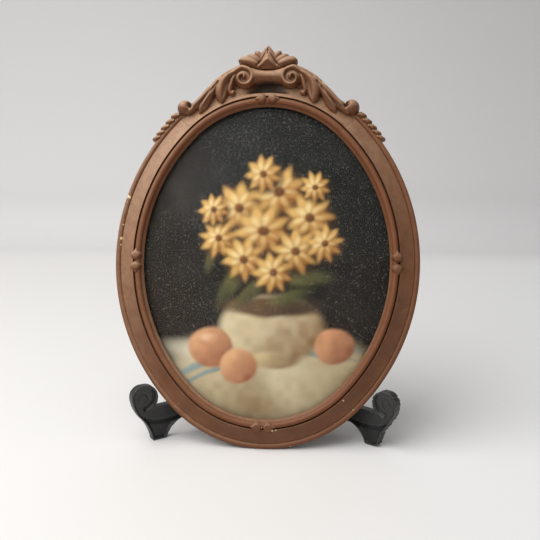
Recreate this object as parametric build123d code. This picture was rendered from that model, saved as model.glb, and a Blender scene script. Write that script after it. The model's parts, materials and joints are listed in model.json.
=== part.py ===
from build123d import *
from math import cos, degrees, pi, radians, sin, sqrt, tan
import os

# Oval picture frame with a carved crest, leaning on a black folding stand.
# Millimetres, +Z up, front towards -Y. The frame's pieces are made flat, with the
# oval's centre at the origin, +Y up the frame and +Z out of its front, and then leaned back.

# Driving sizes of the frame
glass_width = 203.2
glass_height = 254.0
glass_thickness = 2.0
glass_bulge = 10.0
card_thickness = 0.8
board_thickness = 5.0
seat_gap = 0.3
rebate_clearance = 0.5
rebate_width = 6.5
lean_angle = 14.5
cut_overrun = 1.0

# Moulding, from the sight edge outwards and from the back forwards
moulding_width = 23.0
sight_lip = 1.4
bevel_width = 2.0
bevel_rise = 2.2
inner_bead_width = 4.6
inner_bead_rise = 1.3
quirk_width = 1.0
quirk_depth = 2.9
face_drop = 5.4
face_hollow = 0.7
outer_bead_width = 4.4
outer_bead_rise = 1.2
outer_bead_underside = 2.2
bead_step = 0.9
back_inset = 4.2

# Loose tongues in the rail joints
tongue_length = 18.0
tongue_width = 8.0
tongue_thickness = 2.4
tongue_height = 3.2

# Carved crest
crest_rise = 24.5
crest_back = 3.0
ground_thickness = 7.0
ground_margin = 0.8
land_width = 5.6
hollow_width = 13.0
leaf_crown = 18.5
volute_crown = 22.5
volute_radius = 10.2
volute_start = 40.0
volute_sweep = 330.0
volute_half_width = 2.6
volute_steps = 12
band_half_width = 3.8
ball_radius = 6.3
ball_crown = 19.0
eye_radius = 4.0
palmette_crown = 17.0
drop_crown = 20.0
drop_width = 14.0
bolster_radius = 5.6
bolster_axis_height = 14.0

# Bead sprigs and knots
sprig_beads = 5
sprig_bead_radius = 3.3
sprig_bead_length = 5.2
sprig_start_gap = 2.4
sprig_stand_out = 1.0
sprig_back = 5.0
sprig_crown = 13.4
knot_lobe_length = 6.2
knot_lobe_width = 6.0
knot_lobe_pitch = 7.6
knot_reach = 5.4
knot_crown_rise = 1.6
knot_shoulder_drop = 1.2

# Turn buttons and hanger
button_length = 19.0
button_width = 8.0
button_corner = 2.4
button_thickness = 1.6
button_angle = 20.0
button_tail = 5.5
screw_shank_radius = 1.4
screw_shank_sides = 6
screw_head_sides = 12
screw_head_radius = 3.0
screw_head_height = 1.7
screw_length = 8.0
pivot_clearance = 0.08
strap_width = 11.0
strap_thickness = 1.2
strap_eye_radius = 2.4
strap_screw_pitch = 12.0
ring_wire_radius = 1.1
ring_wire_sides = 6
ring_half_width = 9.0
ring_drop = 13.0
ring_corner_radius = 2.6

# Folding stand
stand_angle = 37.0
crook_side_gap = 9.3
panel_thickness = 7.2
panel_recess = 1.2
panel_border = 4.0
scroll_ahead_length = 30.4
scroll_height = 47.0
crook_height = 28.0
toe_length = 12.0
arm_depth = 14.0
heel_reach = 6.0
heel_length = 20.0
upright_height = 150.0
upright_head = 26.0
hinge_base = 3.0
knuckle_count = 3
knuckle_radius = 3.8
knuckle_gap = 0.3
pin_radius = 1.6
pin_head_radius = 2.8
pin_head_height = 1.2
leaf_gap = 0.3
rib_width = 1.8
rib_steps = 12
rib_sweep = 330.0
floor_gap = 0.3

# The oval is four arcs that meet where the rails are jointed, at 45 degrees
quarter = 90.0
half_quarter = quarter / 2
sight_half_width = glass_width / 2 + rebate_clearance - rebate_width
sight_half_height = glass_height / 2 + rebate_clearance - rebate_width
arc_shift = (sight_half_height - sight_half_width) / (2 - sqrt(2))
end_radius = sight_half_height - arc_shift
side_radius = sight_half_width + arc_shift

# Heights from the frame's back, worked out from the pieces in the rebate
sight_rise = glass_bulge * (1 - (sight_half_width / (glass_width / 2)) ** 2)
card_back = board_thickness + seat_gap
glass_back = card_back + card_thickness + seat_gap
rebate_depth = glass_back + glass_thickness + sight_rise + seat_gap
bevel_foot = rebate_depth + sight_lip
bead_shoulder = bevel_foot + bevel_rise + sight_lip
moulding_top = bead_shoulder + inner_bead_rise
quirk_inner = bevel_width + inner_bead_width
face_inner = quirk_inner + quirk_width
face_top = moulding_top - seat_gap
quirk_floor = face_top - quirk_depth
outer_bead_inner = moulding_width - outer_bead_width
face_foot = face_top - face_drop
outer_bead_height = face_foot - bead_step
back_width = moulding_width - back_inset
knot_shoulder = moulding_top - knot_shoulder_drop
relief_base = crest_back + ground_thickness
arm_low = crook_height - arm_depth

# Shares along the top rail's arc: the angle as a share of its half span, and the rise as a share
# of the crest's rise outside the rim or of the moulding's width inside it
palmette_outline_shares = (
    (0.0, 1.0), (0.047, 0.868), (0.083, 0.882), (0.111, 0.776), (0.172, 0.709), (0.221, 0.704),
    (0.25, 0.624), (0.266, 0.493), (0.263, 0.446),
)
shoulder_outline_shares = (
    (0.28, 0.442), (0.348, 0.398), (0.413, 0.348), (0.481, 0.284), (0.559, 0.179), (0.644, 0.076),
)
shoulder_band_shares = (
    (0.271, 0.315, 0.8), (0.362, 0.249, 0.9), (0.442, 0.175, 0.9), (0.532, 0.081, 0.95),
    (0.637, -0.015, 1.0), (0.742, -0.086, 1.0), (0.833, -0.136, 1.05), (0.896, -0.156, 0.95),
)
slim_leaf_shares = (
    (0.452, 0.156, 0.45), (0.532, 0.034, 0.75), (0.603, -0.117, 0.95), (0.663, -0.25, 1.1),
    (0.719, -0.372, 1.1), (0.764, -0.473, 0.8), (0.789, -0.545, 0.25),
)
big_leaf_shares = (
    (0.334, 0.249, 0.8), (0.406, 0.156, 1.0), (0.457, -0.026, 1.15), (0.492, -0.24, 1.3),
    (0.51, -0.414, 1.25), (0.523, -0.546, 0.85), (0.528, -0.628, 0.25),
)
curl_leaf_shares = (
    (0.432, 0.014, 0.4), (0.412, -0.138, 0.65), (0.392, -0.261, 0.75), (0.362, -0.343, 0.4),
)
volute_centre_share = (0.251, -0.026)
ball_centre_share = (0.904, -0.008)
band_crown_shares = (1.0, 0.96, 0.94, 0.92, 0.92, 0.94, 0.96, 0.98)
leaf_crown_shares = (0.9, 0.97, 1.0, 1.04, 1.04, 1.0, 0.88)

# Arched cross-section of a carved lobe: across as a share of its half width, up as a share of its height
arch_shares = ((-1.0, 0.0), (-0.86, 0.6), (-0.42, 0.95), (0.42, 0.95), (0.86, 0.6), (1.0, 0.0))
dome_level_shares = ((1.0, 0.0), (0.96, 0.5), (0.66, 0.86), (0.2, 1.0))
dome_sides = 8
roll_sides = 12
palmette_lobe_shares = (
    (0.0, 1.0, 0.2), (0.083, 0.868, 0.19), (0.156, 0.699, 0.19), (0.236, 0.596, 0.2),
)
palmette_root_share = (0.0, 0.324)
lobe_width_shares = (0.5, 0.85, 1.0, 0.95, 0.35)
lobe_crown_shares = (0.82, 0.95, 1.0, 0.97, 0.8)
drop_outline_shares = ((0.0, 0.568), (0.5, 0.268), (0.27, 0.183), (-0.27, 0.183), (-0.5, 0.268))
bolster_shares = ((-1.0, 1.15), (-0.6, 0.95), (0.0, 0.82), (0.6, 0.95), (1.0, 1.15))
ground_foot_share = -0.2
drop_level_shares = ((1.0, 0.0), (1.0, 0.62), (0.12, 1.0))
bolster_rise_share = -0.01
sprig_taper_share = 0.2
volute_end_share = 0.85
land_end_share = 0.985
hollow_end_share = 0.26

# Shares of the stand half: reach as a share of the scroll tip's, height as a share of the scroll's
toe_share = 0.872
scroll_arc_shares = (
    ((0.907, 0.215), (0.93, 0.37)), ((0.983, 0.62), (1.0, 0.82)),
    ((0.972, 0.955), (0.91, 1.0)), ((0.855, 0.945), (0.83, 0.8)),
)
foot_field_shares = ((0.776, 0.04), (0.846, 0.04), (0.878, 0.304), (0.727, 0.304))
scroll_centre_share = (0.907, 0.782)
scroll_field_share = 0.062
rib_outer_share = 0.066
rib_inner_share = 0.016
# The arch under the arm at its heel and at its toe, in shares of the arch's height
heel_arch_shares = ((0.5, 0.7), (1.5, 1.0))
toe_arch_shares = ((-1.0, 1.0), (-0.35, 0.6))
# The upright: reach as a share of its support's, height as a share of its own
crotch_start_share = 1.02
crotch_shares = ((0.69, 0.275), (0.55, 0.387))
upright_front_share = (0.72, 0.693)
upright_top_shares = ((0.5, 0.983), (0.38, 0.896))
upright_back_share = (0.15, 0.77)
hinge_top_share = 0.7133


def arc_point(radius, angle):
    """Point at an angle from straight up, in degrees, on an arc about the top arc's centre."""
    return (radius * sin(radians(angle)), arc_shift + radius * cos(radians(angle)))


def crest_point(angle_share, rise_share):
    """Point of the crest from its two shares along the top rail's arc."""
    scale_length = crest_rise if rise_share > 0 else moulding_width
    radius = end_radius + moulding_width + rise_share * scale_length
    return arc_point(radius, half_quarter * angle_share)


def polygon_face(points):
    """Flat face inside a closed run of straight edges."""
    return make_face(Polyline(*points, close=True))


def upright_prism(points, low, high):
    """Straight prism on a polygon of the frame's plane, between two heights from the back."""
    return Pos(0, 0, low) * extrude(polygon_face(points), high - low)


def facet(*corners):
    """Flat face on three or more corners."""
    return Face(Wire.make_polygon(corners))


def faceted_solid(rings):
    """Solid with flat knife-cut facets, from rings of points that follow one another."""
    faces = [facet(*rings[0]), facet(*rings[-1])]
    for near, far in zip(rings, rings[1:]):
        for index in range(len(near)):
            after = (index + 1) % len(near)
            faces.append(facet(near[index], near[after], far[after]))
            faces.append(facet(near[index], far[after], far[index]))
    return Solid(Shell(faces)).clean()


def arched_ring(centre, heading, half_width, base, crown):
    """Arched section across a path at one station, as a ring of points."""
    ring = []
    for across, up in arch_shares:
        side = across * half_width
        ring.append((centre[0] - heading.Y * side, centre[1] + heading.X * side, base + up * (crown - base)))
    return ring


def carved_lobe(stations, base):
    """Solid with an arched section that follows stations of (point, half width, crown height)."""
    rings = []
    last = len(stations) - 1
    for index, (point, half_width, crown) in enumerate(stations):
        before = stations[max(index - 1, 0)][0]
        after = stations[min(index + 1, last)][0]
        heading = (Vector(*after) - Vector(*before)).normalized()
        rings.append(arched_ring(point, heading, half_width, base, crown))
    return faceted_solid(rings)


def main_body(piece):
    """The piece without the crumbs that a cut may leave beside it."""
    return max(piece.solids(), key=lambda solid: solid.volume)


def carved_dome(centre, half_length, half_width, base, crown, turn=0.0):
    """Faceted dome on an oval foot."""
    rings = []
    for width_share, height_share in dome_level_shares:
        ring = []
        for side in range(dome_sides):
            angle = 2 * pi * (side + 1 / 2) / dome_sides
            spoke = Vector(half_length * width_share * cos(angle), half_width * width_share * sin(angle))
            spoke = spoke.rotate(Axis.Z, turn)
            ring.append((centre[0] + spoke.X, centre[1] + spoke.Y, base + (crown - base) * height_share))
        rings.append(ring)
    return faceted_solid(rings)


def moulding_section(sight_radius):
    """Section of the rail: rebate, bevel, inner bead, quirk, hollow face, outer bead and raked back."""
    def at(out, up):
        return (sight_radius + out, up)

    bead_middle = bevel_width + inner_bead_width / 2
    rim_middle = moulding_width - outer_bead_width / 2
    face_middle = (face_inner + outer_bead_inner) / 2
    edges = [
        Polyline(
            at(back_width, 0),
            at(rebate_width, 0),
            at(rebate_width, rebate_depth),
            at(0, rebate_depth),
            at(0, bevel_foot),
            at(bevel_width, bevel_foot + bevel_rise),
            at(bevel_width, bead_shoulder),
        ),
        ThreePointArc(
            at(bevel_width, bead_shoulder),
            at(bead_middle, moulding_top),
            at(quirk_inner, bead_shoulder),
        ),
        Polyline(
            at(quirk_inner, bead_shoulder),
            at(quirk_inner, quirk_floor),
            at(face_inner, quirk_floor),
            at(face_inner, face_top),
        ),
        ThreePointArc(
            at(face_inner, face_top),
            at(face_middle, (face_top + face_foot) / 2 - face_hollow),
            at(outer_bead_inner, face_foot),
        ),
        Line(at(outer_bead_inner, face_foot), at(outer_bead_inner, outer_bead_height)),
        ThreePointArc(
            at(outer_bead_inner, outer_bead_height),
            at(rim_middle, outer_bead_height + outer_bead_rise),
            at(moulding_width, outer_bead_height),
        ),
        Polyline(
            at(moulding_width, outer_bead_height),
            at(rim_middle, outer_bead_height - outer_bead_underside),
            at(back_width, 0),
        ),
    ]
    return make_face(edges)


def rail_blank(direction):
    """One rail before its slots: a quarter turn of the moulding about its arc's centre."""
    upright = direction in (quarter, -quarter)
    sight_radius = end_radius if upright else side_radius
    shift = arc_shift if upright else -arc_shift
    blank = revolve(Plane.XZ * moulding_section(sight_radius), Axis.Z, quarter)
    return Rot(0, 0, direction) * Pos(shift, 0, 0) * Rot(0, 0, -half_quarter) * blank


def crest_land(width, end_share):
    """Flat land cut along the top rail's outer edge, from one angle to the other, for the crest."""
    outer = end_radius + moulding_width + cut_overrun
    inner = end_radius + moulding_width - width
    section = Plane.XZ * Pos((inner + outer) / 2, relief_base + moulding_top / 2) * Rectangle(
        outer - inner, moulding_top
    )
    span = quarter * end_share
    return Pos(0, arc_shift, 0) * Rot(0, 0, quarter - span / 2) * revolve(section, Axis.Z, span)


def tongue(side, end):
    """Loose tongue that lies across one rail joint."""
    middle = rebate_width + (back_width - rebate_width) / 2
    radius = end_radius + middle
    reach = radius * cos(radians(half_quarter))
    block = Box(tongue_width, tongue_length, tongue_thickness)
    turn = half_quarter if side * end > 0 else -half_quarter
    return Pos(side * reach, end * (arc_shift + reach), tongue_height + tongue_thickness / 2) * (
        Rot(0, 0, turn) * block
    )


def oval_face(margin):
    """Flat four-arc oval, larger than the sight opening all round by the margin."""
    end = end_radius + margin
    side = side_radius + margin
    corner = end * cos(radians(half_quarter))
    corners = [
        (corner, -arc_shift - corner),
        (corner, arc_shift + corner),
        (-corner, arc_shift + corner),
        (-corner, -arc_shift - corner),
    ]
    middles = [(side - arc_shift, 0), (0, end + arc_shift), (arc_shift - side, 0), (0, -arc_shift - end)]
    edges = []
    for index, middle in enumerate(middles):
        edges.append(ThreePointArc(corners[index], middle, corners[(index + 1) % len(corners)]))
    return make_face(edges)


def domed_plate(back, thickness):
    """Plate that bulges over the whole oval, cut to the oval that fits the rebate."""
    half_width = glass_width / 2
    dome_radius = (half_width ** 2 + glass_bulge ** 2) / (2 * glass_bulge)
    reach = half_width + moulding_width / 2
    front = back + thickness + glass_bulge

    def drop(out):
        return dome_radius - sqrt(dome_radius ** 2 - out ** 2)

    section = make_face([
        ThreePointArc((0, front), (reach / 2, front - drop(reach / 2)), (reach, front - drop(reach))),
        Line((reach, front - drop(reach)), (reach, front - drop(reach) - thickness)),
        ThreePointArc(
            (reach, front - drop(reach) - thickness),
            (reach / 2, front - drop(reach / 2) - thickness),
            (0, front - thickness),
        ),
        Line((0, front - thickness), (0, front)),
    ])
    blank = scale(revolve(Plane.XZ * section, Axis.Z), by=(1, glass_height / glass_width, 1))
    prism = extrude(oval_face(rebate_width - rebate_clearance), front + cut_overrun)
    return blank & prism


def knot_seat(turn, half_axis):
    """Block that fills a knot's pocket in the inner bead, up to the shoulder of its lobes."""
    height = knot_shoulder - quirk_floor
    block = Box(knot_lobe_width, knot_lobe_pitch + knot_lobe_length, height)
    return Rot(0, 0, turn) * Pos(half_axis + knot_reach, 0, quirk_floor + height / 2) * block


def knot_pocket(turn, half_axis):
    """Pocket that a knot is let into."""
    height = moulding_top + cut_overrun - quirk_floor
    block = Box(knot_lobe_width, knot_lobe_pitch + knot_lobe_length, height)
    return Rot(0, 0, turn) * Pos(half_axis + knot_reach, 0, quirk_floor + height / 2) * block


def knot(turn, half_axis):
    """Double knot: two domed lobes side by side on one block."""
    crown = moulding_top + knot_crown_rise
    piece = knot_seat(turn, half_axis)
    for side in (-1, 1):
        centre = (half_axis + knot_reach, side * knot_lobe_pitch / 2)
        lobe = carved_dome(centre, knot_lobe_width / 2, knot_lobe_length / 2, quirk_floor, crown)
        piece += Rot(0, 0, turn) * lobe
    return piece


def bead_sprig():
    """Row of carved beads along the outside of the right rail, just below the ball curl."""
    rim_radius = side_radius + moulding_width
    radius = rim_radius + sprig_stand_out
    sprig = Part()
    for index in range(sprig_beads):
        angle = half_quarter - degrees((sprig_start_gap + sprig_bead_length * index) / radius)
        centre = (-arc_shift + radius * cos(radians(angle)), radius * sin(radians(angle)))
        size = sprig_bead_radius * (1 - sprig_taper_share * index / sprig_beads)
        sprig += carved_dome(centre, size, size, sprig_back, sprig_crown, angle)
    rim = Pos(-arc_shift, 0, 0) * Cylinder(
        rim_radius, sprig_crown, align=(Align.CENTER, Align.CENTER, Align.MIN)
    )
    return sprig - rim


def crest_ground():
    """Flat block behind the carving, which follows its outline a little inside."""
    outline = [crest_point(*share) for share in palmette_outline_shares + shoulder_outline_shares]
    end_share = shoulder_outline_shares[-1][0]
    foot = [crest_point(end_share, ground_foot_share), crest_point(0, ground_foot_share)]
    right = [Vector(*point) for point in outline + foot]
    centre = Vector(*crest_point(0, 0))
    points = []
    for point in right:
        inward = (centre - point).normalized() * ground_margin
        points.append((max((point + inward).X, 0), (point + inward).Y))
    left = [(-x, y) for x, y in reversed(points) if x > 0]
    return upright_prism(points + left, crest_back, relief_base)


def stations_from(shares, half_width, crown, crown_shares):
    """Stations of a carved lobe from its shares."""
    stations = []
    for (angle_share, rise_share, width_share), crown_share in zip(shares, crown_shares):
        point = crest_point(angle_share, rise_share)
        stations.append((point, half_width * width_share, crown * crown_share))
    return stations


def volute():
    """Band that winds in round the eye and climbs towards it."""
    centre = crest_point(*volute_centre_share)
    stations = []
    for step in range(volute_steps + 1):
        travel = step / volute_steps
        angle = radians(volute_start + volute_sweep * travel)
        outermost = volute_radius - volute_half_width
        radius = outermost * (1 - travel) + eye_radius * volute_end_share * travel
        point = (centre[0] + radius * cos(angle), centre[1] + radius * sin(angle))
        half_width = volute_half_width * (1 - travel / 2)
        crown = leaf_crown + (volute_crown - leaf_crown) * min(2 * travel, 1)
        stations.append((point, half_width, crown))
    return carved_lobe(stations, relief_base)


def scroll_right():
    """Right scroll of the crest: shoulder band, leaves, volute, eye and ball curl in one casting."""
    scroll = carved_lobe(
        stations_from(shoulder_band_shares, band_half_width, leaf_crown, band_crown_shares), relief_base
    )
    for shares in (slim_leaf_shares, big_leaf_shares, curl_leaf_shares):
        scroll += carved_lobe(
            stations_from(shares, band_half_width, leaf_crown, leaf_crown_shares), relief_base
        )
    scroll += volute()
    eye = crest_point(*volute_centre_share)
    scroll += carved_dome(eye, eye_radius, eye_radius, relief_base, volute_crown)
    ball = crest_point(*ball_centre_share)
    scroll += carved_dome(ball, ball_radius, ball_radius, relief_base, ball_crown)
    return scroll


def palmette():
    """Shell of seven lobes above the volutes, with the faceted drop at its root."""
    root = Vector(*crest_point(*palmette_root_share))
    shell = None
    for index, (angle_share, rise_share, width_share) in enumerate(palmette_lobe_shares):
        tip = Vector(*crest_point(angle_share, rise_share))
        stations = []
        last = len(lobe_width_shares) - 1
        for station, widening in enumerate(lobe_width_shares):
            travel = station / last
            point = root + (tip - root) * travel
            half_width = crest_rise * width_share * widening
            stations.append(((point.X, point.Y), half_width, palmette_crown * lobe_crown_shares[station]))
        lobe = carved_lobe(stations, relief_base)
        shell = lobe if shell is None else shell + lobe
        if index > 0:
            shell += mirror(lobe, about=Plane.YZ)
    return shell + drop()


def drop():
    """Three-cornered drop with a raised point."""
    outline = []
    for across_share, rise_share in drop_outline_shares:
        outline.append((across_share * drop_width, crest_point(0, rise_share)[1]))
    middle = sum(point[1] for point in outline) / len(outline)
    rings = []
    for size_share, height_share in drop_level_shares:
        level = relief_base + (drop_crown - relief_base) * height_share
        ring = [(x * size_share, middle + (y - middle) * size_share, level) for x, y in outline]
        rings.append(ring)
    return faceted_solid(rings)


def bolster():
    """Waisted roll between the two volutes."""
    centre = crest_point(0, bolster_rise_share)
    half_length = crest_point(*volute_centre_share)[0] - volute_radius + band_half_width
    rings = []
    for along_share, swell_share in bolster_shares:
        ring = []
        for side in range(roll_sides):
            angle = 2 * pi * (side + 1 / 2) / roll_sides
            out = bolster_radius * swell_share
            ring.append((
                along_share * half_length,
                centre[1] + out * cos(angle),
                bolster_axis_height + out * sin(angle),
            ))
        rings.append(ring)
    return faceted_solid(rings)


def board():
    """Backing board that closes the rebate, flush with the rails' backs."""
    return extrude(oval_face(rebate_width - rebate_clearance), board_thickness)


def turn_button():
    """Flat button with clipped corners, its pivot at the origin and its long end towards -X."""
    blank = Rectangle(button_length, button_width)
    plate = Pos(button_tail - button_length / 2, 0, 0) * chamfer(blank.vertices(), button_corner)
    hole = Circle(screw_shank_radius + pivot_clearance)
    return Pos(0, 0, -seat_gap - button_thickness) * extrude(plate - hole, button_thickness)


def wood_screw(head_seat):
    """Screw that points into the frame, its head's underside at the given depth behind the back."""
    head = extrude(RegularPolygon(screw_head_radius, screw_head_sides), screw_head_height)
    shank = extrude(RegularPolygon(screw_shank_radius, screw_shank_sides), head_seat + screw_length)
    return Pos(0, 0, -head_seat - screw_head_height) * head + Pos(0, 0, -head_seat) * shank


def button_places():
    """Places of the turn buttons' pivots on the side rails' backs."""
    radius = side_radius + rebate_width + (back_width - rebate_width) / 2
    places = []
    for turn in (button_angle, -button_angle):
        right = Pos(-arc_shift, 0, 0) * Rot(0, 0, turn) * Pos(radius, 0, 0)
        places.append(right)
    for turn in (2 * quarter - button_angle, 2 * quarter + button_angle):
        left = Pos(arc_shift, 0, 0) * Rot(0, 0, turn) * Pos(radius, 0, 0)
        places.append(left)
    return places


def strap_places():
    """Places of the strap's two screws on the top rail's back."""
    height = arc_shift + end_radius + rebate_width + (back_width - rebate_width) / 2
    return [Pos(side * strap_screw_pitch / 2, height, 0) for side in (-1, 1)]


def hanger_axis():
    """Height up the frame, and depth behind it, of the hanger ring's bar."""
    up = arc_shift + end_radius + rebate_width - strap_eye_radius
    return up, -strap_thickness - seat_gap - ring_wire_radius - pivot_clearance


def hanger_strap():
    """Screwed strap whose lower edge is rolled round the ring's bar."""
    up, behind = hanger_axis()
    length = strap_screw_pitch + strap_width
    top = arc_shift + end_radius + back_width - seat_gap
    plate = Pos(0, (up + top) / 2, -strap_thickness / 2) * Box(length, top - up, strap_thickness)
    eye = Pos(0, up, behind) * Rot(0, quarter, 0) * Cylinder(strap_eye_radius, strap_width)
    strap = plate + (eye - Pos(0, up, 0) * Box(length, length, 2 * seat_gap))
    bore = Pos(0, up, behind) * Rot(0, quarter, 0) * Cylinder(
        ring_wire_radius + pivot_clearance, strap_width + cut_overrun
    )
    return strap - bore


def hanger_ring():
    """D-shaped wire ring that hangs plumb, its straight bar turning in the strap's eye."""
    up, behind = hanger_axis()
    bend = ring_corner_radius
    width = ring_half_width
    turn = sin(radians(half_quarter))
    path = Wire([
        Line((bend - width, 0), (width - bend, 0)),
        ThreePointArc(
            (width - bend, 0), (width - bend + bend * turn, bend * turn - bend), (width, -bend)
        ),
        Line((width, -bend), (width, width - ring_drop)),
        ThreePointArc((width, width - ring_drop), (0, -ring_drop), (-width, width - ring_drop)),
        Line((-width, width - ring_drop), (-width, -bend)),
        ThreePointArc(
            (-width, -bend), (bend - width - bend * turn, bend * turn - bend), (bend - width, 0)
        ),
    ])
    section = Plane(origin=(0, 0, 0), x_dir=(0, 1, 0), z_dir=(1, 0, 0)) * RegularPolygon(
        ring_wire_radius, ring_wire_sides
    )
    return Pos(0, up, behind) * Rot(lean_angle, 0, 0) * sweep(section, path)


frame_front = Vector(0, -cos(radians(lean_angle)), sin(radians(lean_angle)))
lowest = arc_shift + end_radius + moulding_width
corner_drop = arc_shift + end_radius + back_width
frame_centre_height = floor_gap + max(
    corner_drop * cos(radians(lean_angle)),
    lowest * cos(radians(lean_angle)) - outer_bead_height * sin(radians(lean_angle)),
)
frame_plane = Plane(origin=(0, 0, frame_centre_height), x_dir=(1, 0, 0), z_dir=frame_front)
back_at_floor = -frame_centre_height * tan(radians(lean_angle))


def back_edge_half_width(height):
    """Half the width of the frame's back edge at a height above the floor."""
    drop = (frame_centre_height - height) / cos(radians(lean_angle)) - arc_shift
    return sqrt((end_radius + back_width) ** 2 - drop ** 2)


# The arms pass outside the ring at the height of the crook, and the scrolls stand ahead of it
crook_half_width = back_edge_half_width(crook_height) + crook_side_gap
stand_setback = crook_height * tan(radians(lean_angle)) + crook_half_width * tan(radians(stand_angle))
scroll_tip_reach = crook_half_width / cos(radians(stand_angle)) + scroll_ahead_length
hinge_height = upright_height * hinge_top_share - hinge_base
hinge_setback = back_at_floor + stand_setback


def back_reach(height):
    """Reach along a stand half at which it meets the frame's back plane, at a height."""
    return (stand_setback - height * tan(radians(lean_angle))) / sin(radians(stand_angle))


def foot_point(reach_share, height_share):
    """Point of the stand half's foot and scroll from its two shares."""
    return (scroll_tip_reach * reach_share, scroll_height * height_share)


def arch_points(foot, shares):
    """Points of the arch under the arm, from where its foot stands."""
    return [(foot + arm_low * along, arm_low * up) for along, up in shares]


def panel_outline():
    """Outline of one stand half: reach from the hinge across, height up."""
    start = knuckle_radius + knuckle_gap
    heel_end = heel_reach + heel_length
    toe_reach = scroll_tip_reach * toe_share
    toe_back = toe_reach - toe_length
    support_low = upright_height - upright_head
    support = back_reach(support_low) - seat_gap / sin(radians(stand_angle))
    support_top = back_reach(upright_height) - seat_gap / sin(radians(stand_angle))

    def upright_point(reach_share, height_share):
        return (support * reach_share, upright_height * height_share)

    heel_arch = arch_points(heel_end, heel_arch_shares)
    toe_arch = arch_points(toe_back, toe_arch_shares)
    edges = [
        Polyline((start, hinge_base), (heel_reach, 0), (heel_end, 0)),
        ThreePointArc((heel_end, 0), *heel_arch),
        Line(heel_arch[-1], toe_arch[0]),
        ThreePointArc(*toe_arch, (toe_back, 0)),
        Line((toe_back, 0), (toe_reach, 0)),
    ]
    point = (toe_reach, 0)
    for middle_share, end_share in scroll_arc_shares:
        end = foot_point(*end_share)
        edges.append(ThreePointArc(point, foot_point(*middle_share), end))
        point = end
    crotch_start = (support * crotch_start_share, crook_height)
    crotch_middle, crotch_end = [upright_point(*share) for share in crotch_shares]
    head_middle, head_end = [upright_point(*share) for share in upright_top_shares]
    hinge_top = (start, hinge_base + hinge_height)
    edges += [
        Polyline(point, (point[0], crook_height), crotch_start),
        ThreePointArc(crotch_start, crotch_middle, crotch_end),
        ThreePointArc(crotch_end, upright_point(*upright_front_share), (support, support_low)),
        Line((support, support_low), (support_top, upright_height)),
        ThreePointArc((support_top, upright_height), head_middle, head_end),
        ThreePointArc(head_end, upright_point(*upright_back_share), hinge_top),
        Line(hinge_top, (start, hinge_base)),
    ]
    return make_face(edges)


def knuckles(own):
    """Hinge knuckles of one half, with the webs that join them to the panel."""
    pitch = hinge_height / knuckle_count
    solids = []
    for index in range(own, knuckle_count, 2):
        low = hinge_base + pitch * index + knuckle_gap / 2
        height = pitch - knuckle_gap
        barrel = Pos(0, low, 0) * Rot(-quarter, 0, 0) * Cylinder(
            knuckle_radius, height, align=(Align.CENTER, Align.CENTER, Align.MIN)
        )
        web_length = knuckle_radius + 2 * knuckle_gap + cut_overrun
        web = Pos(web_length / 2, low + height / 2, (leaf_gap + knuckle_radius) / 2) * Box(
            web_length, height, knuckle_radius - leaf_gap
        )
        solids.append(barrel + web)
    return solids


def stand_half(own, bore_radius):
    """Stand half in its own plane: reach along X, height along Y, thickness away from the frame."""
    half = Pos(0, 0, leaf_gap) * extrude(panel_outline(), panel_thickness)
    for recess in panel_recesses():
        half -= Pos(0, 0, leaf_gap) * extrude(recess, panel_recess)
    half += Pos(0, 0, leaf_gap) * extrude(scroll_rib(), panel_recess)
    for knuckle in knuckles(own):
        half += knuckle
    bore = Pos(0, hinge_base, 0) * Rot(-quarter, 0, 0) * Cylinder(
        bore_radius, hinge_height, align=(Align.CENTER, Align.CENTER, Align.MIN)
    )
    return half - bore


def panel_recesses():
    """Sunk fields of the arm, the foot and the scroll, each inside a raised border."""
    low = arm_low + panel_border
    high = crook_height - panel_border
    arm_start = knuckle_radius + knuckle_gap + panel_border
    arm_end = scroll_tip_reach * toe_share - panel_border
    arm = Pos((arm_start + arm_end) / 2, (low + high) / 2) * SlotOverall(arm_end - arm_start, high - low)
    foot = polygon_face([foot_point(*share) for share in foot_field_shares])
    scroll = Pos(*foot_point(*scroll_centre_share)) * Circle(scroll_tip_reach * scroll_field_share)
    return [arm, foot, scroll]


def scroll_rib():
    """Raised spiral in the scroll's sunk field."""
    centre = foot_point(*scroll_centre_share)
    outer = []
    inner = []
    for step in range(rib_steps + 1):
        travel = step / rib_steps
        angle = radians(quarter + rib_sweep * travel)
        radius = scroll_tip_reach * (rib_outer_share * (1 - travel) + rib_inner_share * travel)
        narrow = rib_width * (1 - travel / 2)
        spoke = (cos(angle), sin(angle))
        outer.append((centre[0] + radius * spoke[0], centre[1] + radius * spoke[1]))
        inner.append((centre[0] + (radius - narrow) * spoke[0], centre[1] + (radius - narrow) * spoke[1]))
    return polygon_face(outer + list(reversed(inner)))


def stand_plane(side):
    """Plane of one stand half, through the hinge's axis."""
    out = Vector(side * cos(radians(stand_angle)), -sin(radians(stand_angle)), 0)
    up = Vector(0, 0, 1)
    return Plane(origin=(0, hinge_setback, 0), x_dir=out, z_dir=out.cross(up))


def stand_right_half():
    """Right half, which turns on the pin."""
    half = stand_half(1, pin_radius + pivot_clearance)
    return stand_plane(1) * mirror(half, about=Plane.XY)


def stand_left_half():
    """Left half, which holds the pin."""
    return stand_plane(-1) * stand_half(0, pin_radius)


def hinge_pin():
    """Steel pin with a low head on top."""
    pin = Cylinder(pin_radius, hinge_height, align=(Align.CENTER, Align.CENTER, Align.MIN))
    head = Pos(0, 0, hinge_height) * Cylinder(
        pin_head_radius, pin_head_height, align=(Align.CENTER, Align.CENTER, Align.MIN)
    )
    return Pos(0, hinge_setback, hinge_base) * (pin + head)


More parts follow.
